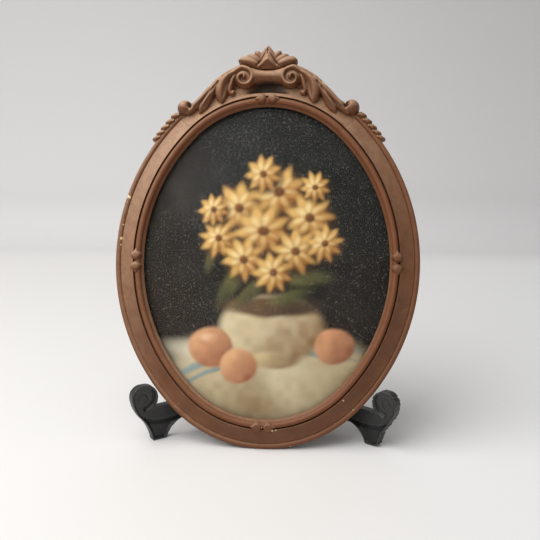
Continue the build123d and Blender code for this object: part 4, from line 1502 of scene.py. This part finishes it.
@dataclass
class StillLife:
    """A generic still life in the print's colours: golden flowers in a cream bowl on a cloth.

    The ground is charcoal that warms to umber at its foot and on the left. Each blot is laid
    over what is below it by a soft mask, its colour running from its light to its dark hue
    away from the upper left.
    """

    ground_low: str = "#231a13"
    ground_high: str = "#131411"
    ground_side: str = "#271d14"
    noise_shift: float = 300.0
    ripple: float = 2.6
    cloth_and_bowl: tuple[Blot, ...] = (
        Blot(0, -96, 78, 42, "#d8cbab", "#a08a63", 0.28),
        Blot(-34, -104, 46, 30, "#cdbc97", "#8c7550", 0.35),
        Blot(42, -88, 40, 30, "#d6c8a6", "#9a845c", 0.3),
        Blot(-2, -72, 70, 9, "#e2d8bd", "#b8a67f", 0.5, -4),
        Blot(24, -60, 44, 3.2, "#9fb0ad", "#6c7f7f", 0.5, -9),
        Blot(20, -67, 46, 2.2, "#a9b7b2", "#74847f", 0.5, -9),
        Blot(-46, -78, 26, 2.6, "#9aaaa6", "#6a7a78", 0.5, 24),
        Blot(-44, -86, 26, 1.8, "#a3b0ab", "#738079", 0.5, 24),
        Blot(6, -52, 40, 27, "#e0cfa8", "#8a6a45", 0.13),
        Blot(6, -34, 37, 8, "#70553a", "#3a2a1d", 0.3),
        Blot(6, -76, 20, 6, "#cdb78a", "#7a5c3c", 0.3),
    )
    leaves: tuple = (
        (-24, -14, 15), (32, -12, 14), (-10, -22, 12), (20, -26, 11), (-42, 4, 9), (48, 8, 9),
    )
    flowers: tuple = (
        (-20, 42, 17), (10, 54, 18), (34, 34, 16), (-36, 18, 13), (-2, 24, 18), (24, 8, 15),
        (46, 14, 12), (-16, 2, 14), (6, -8, 13), (-2, 68, 12), (38, 58, 10), (-40, 40, 10),
    )
    fruit: tuple[Blot, ...] = (
        Blot(-42, -66, 17, 16, "#dca377", "#8c5133", 0.12),
        Blot(-20, -80, 15, 14, "#e0ac7e", "#96583a", 0.12),
        Blot(54, -64, 15, 14, "#d59a70", "#7e4930", 0.13),
        Blot(-44, -58, 6, 3, "#ecc7a0", "#d39a70", 0.7),
    )

    def blots(self) -> list[Blot]:
        """Everything that stands on the ground, from the back to the front.

        A flower is a shadow, a ring of outer petals, a ring of inner ones and a brown eye.
        """
        marks = list(self.cloth_and_bowl)
        for u, v, size in self.leaves:
            marks.append(
                Blot(u, v, size * 1.4, size * 0.42, "#6e6a3e", "#2c2c1a", 0.5, 35 - u)
            )
        for u, v, size in self.flowers:
            marks += [
                Blot(u + 1.5, v - 2, size * 1.08, size * 1.05, "#5c3d1d", "#2a1c10", 0.35),
                Blot(u, v, size, size * 0.95, "#dfb266", "#94602a", 0.22, u + v, 9),
                Blot(u - 0.5, v + 0.5, size * 0.62, size * 0.58, "#f0d190", "#b88240", 0.3, v, 7),
                Blot(u, v, size * 0.24, size * 0.22, "#8c5523", "#4b2c12", 0.4),
            ]
        return marks + list(self.fruit)

    def paint(self, u: np.ndarray, v: np.ndarray) -> np.ndarray:
        """Colour of the print at each place, in linear light.

        Args:
            u: places across, in millimetres.
            v: places up, in millimetres.

        Returns:
            One row of red, green, blue and alpha for each place.
        """
        shift = self.noise_shift
        u = u + self.ripple * (cloud(u + shift, v + shift, 17.0, 11) - 0.5)
        v = v + self.ripple * (cloud(u + shift, v + shift, 15.0, 12) - 0.5)
        x, y = u + shift, v + shift
        low, high, side = (
            np.array(linear(tone)) for tone in (self.ground_low, self.ground_high, self.ground_side)
        )
        tone = smoothstep(-110, 60, v)[:, None]
        colour = low * (1 - tone) + high * tone
        left = (smoothstep(20, 90, -u) * (0.35 + 0.5 * cloud(x, y, 34.0, 13)))[:, None]
        colour = colour * (1 - left) + side * left
        colour = colour * (0.78 + 0.44 * cloud(x, y, 21.0, 14))[:, None]
        for number, blot in enumerate(self.blots()):
            mask, shade = self.spread(blot, number, u, v)
            shade = np.clip(shade + 0.3 * (cloud(x, y, 6.0, 20 + number) - 0.5), 0, 1)
            light, dark = np.array(linear(blot.light)), np.array(linear(blot.dark))
            hue = light * (1 - shade[:, None]) + dark * shade[:, None]
            colour = colour * (1 - mask[:, None]) + mask[:, None] * hue
        colour[:, 3] = 1.0
        return colour

    @staticmethod
    def spread(
        blot: Blot, number: int, u: np.ndarray, v: np.ndarray
    ) -> tuple[np.ndarray, np.ndarray]:
        """How much a blot covers each place, and how far into its shade the place lies.

        The blot's own x and y run to 1 at its edge. Petals swell the edge, and darken the
        colour, by a cosine of the angle.
        """
        c, s = cos(radians(blot.turn)), sin(radians(blot.turn))
        du, dv = u - blot.u, v - blot.v
        x, y = (du * c + dv * s) / blot.half_width, (dv * c - du * s) / blot.half_height
        out = np.hypot(x, y)
        shade = smoothstep(-0.9, 1.0, (du - dv) / (blot.half_width + blot.half_height))
        if blot.petals:
            wave = np.cos(blot.petals * np.arctan2(y, x) + number)
            out = out * (1 + 0.16 * wave)
            shade = np.clip(shade + 0.35 * wave * out, 0, 1)
        return 1 - smoothstep(1 - blot.blur, 1 + blot.blur, out), shade


@dataclass
class Stand:
    """The folding stand: two moulded halves with scroll feet, hinged on a steel pin.

    A half's own coordinates are its reach from the hinge, its height, and its depth away from
    the frame.
    """

    finish: bpy.types.Material
    angle: float = 37.0
    near: float = 0.3
    far: float = 7.5
    hinge_top: float = 107.0
    hinge_base: float = 3.0
    knuckle_radius: float = 3.8
    bore_radius: float = 1.72
    knuckle_gap: float = 0.3
    web_reach: tuple[float, float] = (2.9, 5.6)
    web_back: float = 3.7
    voxel_mm: float = 0.62
    face_sink: float = 0.75
    fold_sink: float = 1.6
    crease_sink: float = 1.1
    line_widening: float = 1.15
    edge_depth: float = 1.1
    knuckle_reach: float = 6.5
    foot_from: float = 96.0
    worn_mm: float = 1.3
    outline_start: tuple[float, float] = (4.1, 107.0)
    outline_runs: tuple = (
        ((4.1, 3.0),), ((6.0, 0.05),), ((26.0, 0.05),), ((33.0, 9.8), (47.0, 14.0)),
        ((83.6, 14.0),), ((92.7, 8.4), (97.6, 0.05)), ((109.4, 0.05),),
        ((112.4, 10.6), (116.6, 18.0)), ((123.2, 28.0), (125.5, 37.4)),
        ((122.6, 44.6), (114.6, 46.9)), ((106.6, 43.9), (103.6, 36.6)),
        ((104.5, 31.6), (106.8, 27.7)), ((100.0, 28.0),), ((54.6, 28.0),),
        ((36.9, 41.25), (29.4, 58.0)), ((38.5, 104.0), (53.5, 124.0)), ((42.3, 149.9),),
        ((26.8, 147.4), (20.3, 134.4)), ((8.0, 115.5), (4.1, 107.0)),
    )
    fold: tuple = (
        (5.0, 16.4), (60.0, 16.2), (85.8, 16.0), (94.9, 15.4), (102.3, 15.6), (108.7, 16.7),
        (113.5, 18.4), (117.7, 21.4), (121.3, 25.4), (126.0, 34.0),
    )
    slot_path: tuple = (
        (108.0, 42.4, 0.6, 0.9), (106.9, 39.6, 0.8, 1.7), (106.9, 36.2, 0.9, 2.2),
        (108.2, 32.8, 1.1, 2.3), (110.6, 30.0, 1.35, 2.3), (114.2, 27.9, 1.5, 2.3),
    )
    curl_path: tuple = (
        (119.6, 36.4, 0.6, 0.55), (117.9, 39.6, 0.6, 0.65), (114.6, 40.4, 0.6, 0.7),
        (112.2, 38.2, 0.6, 0.7), (112.2, 35.4, 0.6, 0.6), (114.4, 33.6, 0.6, 0.45),
    )
    pin_profile: tuple = (
        (0.0, 3.0), (1.3, 3.0), (1.6, 3.4), (1.6, 106.9), (1.7, 107.0), (2.6, 107.0),
        (2.8, 107.2), (2.75, 107.6), (2.2, 107.95), (1.2, 108.12), (0.0, 108.18),
    )

    @property
    def hinge_y(self) -> float:
        """Depth of the hinge's axis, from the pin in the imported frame."""
        low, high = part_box("hinge_pin")
        return (low[1] + high[1]) / 2 / MM

    def place(self, local: np.ndarray, side: Side) -> np.ndarray:
        """Turn reach, height and depth in millimetres into places in metres.

        The reach runs outwards and forwards from the hinge, and the depth outwards and back.
        """
        reach, height, depth = local[..., 0], local[..., 1], local[..., 2]
        c, s = cos(radians(self.angle)), sin(radians(self.angle))
        x = side.value * (reach * c + depth * s)
        return MM * np.stack([x, self.hinge_y - reach * s + depth * c, height], -1)

    def outline(self) -> np.ndarray:
        """Closed outline of a half, each run going on from the end of the one before.

        A run of one point is a straight line to it, and one of two is an arc through the first
        to the second.
        """
        start, parts = self.outline_start, []
        for run in self.outline_runs:
            if len(run) == 2:
                parts.append(arc_through(start, *run)[:-1:2])
            else:
                parts.append(np.linspace(start, run[0], 9)[:-1])
            start = run[-1]
        return np.concatenate(parts)

    def relief(self, reach: np.ndarray, height: np.ndarray) -> np.ndarray:
        """Depth of the front face below its border, at each place.

        Inside a narrow raised border the face is sunk; below the fold under the arm it is sunk
        further; a slot runs down inside the scroll, and a fine line curls at its middle.
        """
        outline = self.outline()
        start, end = outline, np.roll(outline, -1, axis=0)
        along = end - start
        rx, ry = reach[:, None] - start[None, :, 0], height[:, None] - start[None, :, 1]
        t = np.clip((rx * along[:, 0] + ry * along[:, 1]) / (along**2).sum(1), 0, 1)
        inside = np.sqrt((rx - t * along[:, 0]) ** 2 + (ry - t * along[:, 1]) ** 2).min(1)
        fold = np.array(self.fold)
        below = np.interp(reach, fold[:, 0], fold[:, 1]) - height
        depth = self.face_sink * smoothstep(0.9, 1.6, inside)
        depth += self.fold_sink * smoothstep(-0.5, 0.5, below) * smoothstep(1.3, 2.3, inside)
        crease = np.exp(-(((below - 0.9) / 1.8) ** 2)) * smoothstep(0.8, 1.8, inside)
        depth += self.crease_sink * crease
        flat = np.stack([reach, height], 1)
        for path, power in ((self.slot_path, 4.0), (self.curl_path, 2.0)):
            run = smooth_run(path, 60) * [1, 1, self.line_widening, 1]
            depth += deepest(run, flat, power)
        return depth

    def shells(self, side: Side) -> list[tuple[np.ndarray, list]]:
        """Closed shells of one half: the panel, its knuckles and their webs."""
        points, faces = prism(self.outline(), self.near, self.far)
        shells = [(self.place(points, side), faces)]
        pitch = (self.hinge_top - self.hinge_base) / 3
        around = np.linspace(0, 2 * pi, 48, endpoint=False)
        ring = grid_quads(4, 48, wrap_rows=True, wrap_columns=True).tolist()
        box = [[0, 1, 3, 2], [4, 6, 7, 5], [0, 4, 5, 1], [2, 3, 7, 6], [0, 2, 6, 4], [1, 5, 7, 3]]
        for index in (0, 2) if side is Side.LEFT else (1,):
            low = self.hinge_base + pitch * index + self.knuckle_gap / 2
            high = low + pitch - self.knuckle_gap
            profile = (
                (self.bore_radius, low), (self.knuckle_radius, low), (self.knuckle_radius, high),
                (self.bore_radius, high),
            )
            tube = np.array([[(r * np.cos(a), z, r * np.sin(a)) for a in around]
                             for r, z in profile])
            shells.append((self.place(tube.reshape(-1, 3), side), ring))
            web = np.array([(x, z, d) for x in self.web_reach for z in (low, high)
                            for d in (self.near, self.web_back)])
            shells.append((self.place(web, side), box))
        return shells

    def build(self) -> None:
        """Mould both halves and turn the pin."""
        for side in Side:
            self.half(side)
        self.pin()

    def half(self, side: Side) -> None:
        """One half: cast in one skin, softened, with its relief sunk into the front face."""
        points, quads = cast_together(self.shells(side), self.voxel_mm * MM)
        points = relaxed(points, edge_pairs(quads), 2, 0.5)
        c, s = cos(radians(self.angle)), sin(radians(self.angle))
        x, y = side.value * points[:, 0] / MM, points[:, 1] / MM - self.hinge_y
        local = np.stack([x * c - y * s, points[:, 2] / MM, x * s + y * c], 1)
        front = (local[:, 2] < self.edge_depth) & (local[:, 0] > self.knuckle_reach)
        sunk = np.zeros(len(local))
        sunk[front] = self.relief(local[front, 0], local[front, 1])
        local[:, 2] += sunk
        if side is Side.RIGHT:
            local[:, :2] = self.worn(local[:, :2])
        local[:, 1] = np.maximum(local[:, 1], 0.0)
        points = relaxed(self.place(local, side), edge_pairs(quads), 1, 0.35)
        points[:, 2] = np.maximum(points[:, 2], 0.0)
        body = Body[f"STAND_{side.name}"].value
        make_piece(
            f"moulded_{body}", points, quads, self.finish, body, (body,), None,
            {"hollow": hollowness(points, quads, 0.6 * MM)}, 180,
        )

    def worn(self, flat: np.ndarray) -> np.ndarray:
        """Chipped outline of the right foot: its rim drawn in unevenly towards its middle."""
        middle = np.where(flat[:, 1:] > 20.0, (112.0, 34.0), (103.0, 9.0))
        away = flat - middle
        length = np.maximum(np.hypot(*away.T), 1e-6)
        turn = np.arctan2(away[:, 1], away[:, 0])
        bite = cloud(9.0 * turn + 40, flat[:, 1] / 3 + 9, 2.4, 21) * 0.7
        bite = bite + cloud(23.0 * turn + 80, flat[:, 1], 2.0, 8) * 0.5
        draw = self.worn_mm * smoothstep(0.55, 0.95, bite) * smoothstep(6.0, 11.0, length)
        draw = draw * (flat[:, 0] > self.foot_from)
        return flat - away / length[:, None] * draw[:, None]

    def pin(self) -> None:
        """Hinge pin with a low domed head: its section turned about the hinge's axis."""
        points, faces = turned_shell(np.array(self.pin_profile), 36)
        make_piece(
            "steel_hinge_pin", points + [0, self.hinge_y * MM, 0], faces, PIN_STEEL.material(),
            Body.STAND_LEFT.value, ("hinge_pin",),
        )


def turned_shell(profile: np.ndarray, sides: int) -> tuple[np.ndarray, list]:
    """Section of radius and height carried round the upright axis, its poles closed."""
    around = np.linspace(0, 2 * pi, sides, endpoint=False)
    ring = profile[1:-1]
    x, y = ring[:, :1] * np.cos(around), ring[:, :1] * np.sin(around)
    grid = np.stack([x, y, np.broadcast_to(ring[:, 1:], x.shape)], -1).reshape(-1, 3)
    points = MM * np.concatenate([grid, [(0, 0, profile[0, 1]), (0, 0, profile[-1, 1])]])
    faces = grid_quads(len(ring), sides, wrap_columns=True).tolist()
    faces += fan(0, sides, len(grid))
    return points, faces + fan((len(ring) - 1) * sides, sides, len(grid) + 1)


PIN_STEEL = AgedMetal("dull_pin_steel", "#8f8d88", "#4a4643", 0.36)
SCREW_STEEL = AgedMetal("dull_screw_steel", "#9a968c", "#55493b", 0.38)
BUTTON_BRASS = AgedMetal("tarnished_brass", "#a8843f", "#5b4526", 0.34)
HANGER_METAL = AgedMetal("plated_hanger_steel", "#a9a495", "#5f5342", 0.33)


@dataclass
class BackFittings:
    """Turn buttons, screws, hanger strap and swinging ring on the frame's back."""

    pivot_u: float = 99.107
    pivot_v: float = 51.85
    strap_u: float = 6.0
    strap_v: float = 133.65
    button_head: float = -1.98
    strap_head: float = -1.2
    screw_head: float = 2.95
    head_rise: float = 1.68
    slot_depth: float = 0.75
    shank_share: float = 0.46
    tip_share: float = 0.40
    shank_length: float = 7.6
    ring_wire: float = 1.1
    ring_half: float = 9.0
    ring_bend: float = 2.6
    ring_straight: float = 4.0
    bevel_mm: float = 0.22

    def build(self) -> None:
        """Make every fitting."""
        brass, steel, plated = (
            metal.material() for metal in (BUTTON_BRASS, SCREW_STEEL, HANGER_METAL)
        )
        for number in range(1, 5):
            self.stamped(f"turn_button_{number}", f"turn_button_{number}", brass)
        self.stamped("hanger_strap", "frame", plated)
        corners = [
            (u, v) for u in (-self.pivot_u, self.pivot_u) for v in (-self.pivot_v, self.pivot_v)
        ]
        self.screws("turn_button_screws", corners, self.button_head, steel)
        holes = [(-self.strap_u, self.strap_v), (self.strap_u, self.strap_v)]
        self.screws("hanger_screws", holes, self.strap_head, steel)
        self.ring(plated)

    def stamped(self, node: str, body: str, finish: bpy.types.Material) -> None:
        """Stamped sheet part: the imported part's own shape, its edges eased by a fine bevel."""
        mesh = frame["nodes"][node].data.copy()
        work = bmesh.new()
        work.from_mesh(mesh)
        bmesh.ops.remove_doubles(work, verts=work.verts, dist=1e-6)
        bmesh.ops.dissolve_limit(work, angle_limit=radians(1), verts=work.verts, edges=work.edges)
        work.to_mesh(mesh)
        work.free()
        mesh.materials.clear()
        mesh.materials.append(finish)
        piece = bpy.data.objects.new(f"stamped_{node}", mesh)
        bpy.context.collection.objects.link(piece)
        ease = piece.modifiers.new("ease", "BEVEL")
        ease.width = self.bevel_mm * MM
        ease.segments = 2
        ease.limit_method = "ANGLE"
        ease.angle_limit = radians(40)
        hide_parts(node)
        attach(piece, body)
        log.info("stamped_%s on %s", node, body)

    def screws(
        self, node: str, places: list[tuple[float, float]], head: float,
        finish: bpy.types.Material,
    ) -> None:
        """Slotted screws: a domed head whose height is cut down across its slot, and a shank."""
        shells = []
        for number, (u, v) in enumerate(places):
            share, turn = np.linspace(0.02, 1.0, 22), np.linspace(0, 2 * pi, 64, endpoint=False)
            radius = self.screw_head * share[:, None]
            x, y = radius * np.cos(turn), radius * np.sin(turn)
            slot_turn = 0.5 + 0.8 * number
            across = np.abs(x * cos(slot_turn) + y * sin(slot_turn))
            rise = self.head_rise * (1 - share[:, None] ** 2.6) ** 0.6
            rise = rise - self.slot_depth * (1 - smoothstep(0.3, 0.45, across))
            rise = np.where(share[:, None] > 0.97, 0.0, np.maximum(rise, 0.05))
            dome = np.stack([u + x, v + y, head - rise], -1)
            shank = [
                np.stack([u + part * x[-1], v + part * y[-1], np.full(64, head + deep)], -1)
                for part, deep in ((self.shank_share, 0.0), (self.tip_share, self.shank_length))
            ]
            grid = np.concatenate([dome, shank])
            shells.append((PLANE.place(grid.reshape(-1, 3)), tube_faces(*grid.shape[:2])))
        points, faces = join_shells(shells)
        make_piece(
            f"slotted_{node}", points, faces, finish, Body.FRAME.value, (node,), sharp=30
        )

    def ring(self, finish: bpy.types.Material) -> None:
        """Hanging ring: a round wire carried along a straight bar, two bends and a half circle."""
        low, high = (np.array(corner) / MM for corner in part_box("hanger_ring"))
        axis = (*(low + high)[:2] / 2, high[2] - self.ring_wire)
        half, bend, straight = self.ring_half, self.ring_bend, self.ring_straight
        corner = np.linspace(0, pi / 2, 12)
        right = np.concatenate([
            np.stack([np.linspace(0, half - bend, 12), np.zeros(12)], 1),
            np.stack([half - bend + bend * np.sin(corner), bend * np.cos(corner) - bend], 1)[1:],
            np.stack([np.full(6, half), np.linspace(-bend, -straight, 6)], 1)[1:],
            np.stack([half * np.cos(corner), -straight - half * np.sin(corner)], 1)[1:],
        ])
        path = np.concatenate([right, (right * [-1, 1])[1:-1][::-1]])
        ahead = np.roll(path, -1, axis=0) - np.roll(path, 1, axis=0)
        ahead /= np.linalg.norm(ahead, axis=1)[:, None]
        side = np.stack([ahead[:, 1], -ahead[:, 0]], 1)
        around = np.linspace(0, 2 * pi, 20, endpoint=False)
        wire = 0.985 * self.ring_wire
        flat = path[:, None, :] + wire * side[:, None, :] * np.cos(around)[None, :, None]
        deep = np.broadcast_to(wire * np.sin(around), flat.shape[:2])
        grid = MM * np.stack([axis[0] + flat[..., 0], axis[1] + deep, axis[2] + flat[..., 1]], -1)
        rows, columns = grid.shape[:2]
        make_piece(
            "hanging_ring", grid.reshape(-1, 3), grid_quads(rows, columns, True, True), finish,
            Body.RING.value, ("hanger_ring",),
        )


@dataclass
class Tongues:
    """Beech tongues inside the rail joints, seen only when a rail is taken off."""

    pale: str = "#c9a878"
    grain: str = "#b08a5c"
    grain_mm: tuple[float, float, float] = (8.0, 1.2, 1.2)

    def build(self) -> None:
        """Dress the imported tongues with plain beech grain."""
        beech, shader, place = new_material("beech_tongues")
        tree = beech.node_tree
        grain = add_node(tree, "TexNoise", {
            "Vector": add_node(tree, "Mapping", {
                "Vector": place, "Scale": tuple(1 / (size * MM) for size in self.grain_mm),
            }),
            "Scale": 1.0, "Detail": 4.0,
        })
        set_inputs(tree, shader, {
            "Base Color": layered(tree, self.grain, ((grain, self.pale),)), "Roughness": 0.7,
        })
        mesh = frame["nodes"]["joint_tongues"].data
        mesh.materials.clear()
        mesh.materials.append(beech)


@dataclass
class Studio:
    """Pale floor and backdrop, soft light from the upper left, and the camera.

    Sizes of the room are in metres. The camera is set by its angles in degrees, its distance
    and the point it looks at, and its lens by a focal length in pixels of a square picture.
    """

    floor_front: float = -6.0
    floor_depth: float = 0.74
    sweep: float = 0.08
    wall_top: float = 4.0
    half_width: float = 4.0
    focal_px: float = 800.0
    picture_px: float = 540.0
    sensor_mm: float = 36.0
    azimuth: float = 5.0
    elevation: float = 12.71
    roll: float = -0.42
    distance_mm: float = 631.5
    target_mm: tuple[float, float, float] = (2.62, 5.2, 131.45)
    sky: str = "#c4c4c4"
    sky_strength: float = 0.68
    lamp_place: tuple[float, float, float] = (-0.56, -0.44, 1.1)
    lamp_target: tuple[float, float, float] = (0.0, 0.0, 0.14)
    lamp_size: float = 1.4
    lamp_watts: float = 19.0

    def build(self) -> None:
        """Set up the whole studio."""
        bpy.context.scene.view_settings.view_transform = "Standard"
        self.floor()
        self.lights()
        self.camera()

    def camera(self) -> None:
        """Camera at the photo's angle, from azimuth, elevation, roll and distance."""
        az, el = radians(self.azimuth), radians(self.elevation)
        back = Vector((sin(az) * cos(el), -cos(az) * cos(el), sin(el)))
        right = Vector((cos(az), sin(az), 0.0))
        up = back.cross(right)
        tilt = radians(self.roll)
        turned_right = right * cos(tilt) + up * sin(tilt)
        turned_up = up * cos(tilt) - right * sin(tilt)
        data = bpy.data.cameras.new("camera")
        data.sensor_width = self.sensor_mm
        data.lens = self.sensor_mm * self.focal_px / self.picture_px
        camera = bpy.data.objects.new("camera", data)
        matrix = Matrix((turned_right, turned_up, back)).transposed().to_4x4()
        matrix.translation = Vector(self.target_mm) * MM + back * self.distance_mm * MM
        camera.matrix_world = matrix
        bpy.context.collection.objects.link(camera)
        bpy.context.scene.camera = camera

    def floor(self) -> None:
        """Near-white floor and light grey backdrop, joined by a quarter circle."""
        bend = np.linspace(0, pi / 2, 24)
        wall = self.floor_depth + self.sweep
        profile = np.concatenate([
            [(self.floor_front, 0.0)],
            np.stack([
                self.floor_depth + self.sweep * np.sin(bend), self.sweep * (1 - np.cos(bend)),
            ], 1),
            [(wall, self.wall_top)],
        ])
        across = np.linspace(-self.half_width, self.half_width, 3)
        grid = np.stack([
            np.broadcast_to(across, (len(profile), 3)),
            np.broadcast_to(profile[:, :1], (len(profile), 3)),
            np.broadcast_to(profile[:, 1:], (len(profile), 3)),
        ], -1).reshape(-1, 3)
        mesh = bpy.data.meshes.new("floor")
        mesh.from_pydata(grid.tolist(), [], grid_quads(len(profile), 3)[:, ::-1].tolist())
        mesh.polygons.foreach_set("use_smooth", np.ones(len(mesh.polygons), dtype=bool))
        mesh.materials.append(self.paper())
        sheet = bpy.data.objects.new("floor", mesh)
        bpy.context.collection.objects.link(sheet)

    def paper(self) -> bpy.types.Material:
        """Matt paper roll: white on the floor, and painted shade makes the wall greyer upwards and
        towards the right.
        """
        paper, shader, place = new_material("floor_paper")
        tree = paper.node_tree
        axes = add_node(tree, "SeparateXYZ", {"Vector": place}).outputs
        right, near_right, raised = (
            add_node(tree, "MapRange", {
                "Value": axes[axis], "From Min": start, "From Max": end,
            }, interpolation_type="SMOOTHSTEP")
            for axis, start, end in (("X", -0.35, 0.5), ("X", -0.02, 0.3), ("Y", 0.62, 0.84))
        )
        ground = layered(tree, "#eeece9", ((near_right, "#efefee"),))
        # Painted shade: the wall darkens towards the right and higher up
        wall = layered(tree, "#dddcdc", (
            (right, "#d2d0d0"), (axes["Z"], 0.12, 0.6, 0.6, "#9d9b9b"),
        ))
        set_inputs(tree, shader, {
            "Base Color": layered(tree, ground, ((raised, wall),)), "Roughness": 0.7,
        })
        return paper

    def lights(self) -> None:
        """Large soft lamp high on the left that looks at the frame's middle, and an even sky."""
        world = bpy.data.worlds.new("studio")
        world.use_nodes = True
        tree = world.node_tree
        set_inputs(tree, tree.nodes["Background"], {
            "Color": self.sky, "Strength": self.sky_strength,
        })
        bpy.context.scene.world = world
        data = bpy.data.lights.new("key", "AREA")
        data.size = self.lamp_size
        data.energy = self.lamp_watts
        lamp = bpy.data.objects.new("key", data)
        aim = Vector(self.lamp_target) - Vector(self.lamp_place)
        turn = aim.to_track_quat("-Z", "Y").to_matrix().to_4x4()
        lamp.matrix_world = Matrix.Translation(self.lamp_place) @ turn
        bpy.context.collection.objects.link(lamp)


def main() -> None:
    """Build every piece and the studio."""
    logging.basicConfig(level=logging.INFO, format="%(message)s")
    paint = CompoPaint().material()
    Moulding(paint).build()
    Crest(paint).build()
    Beads(paint).build()
    Glazing().build()
    Stand(BlackPlastic().material()).build()
    BackFittings().build()
    Tongues().build()
    Studio().build()


if __name__ == "__main__":
    main()
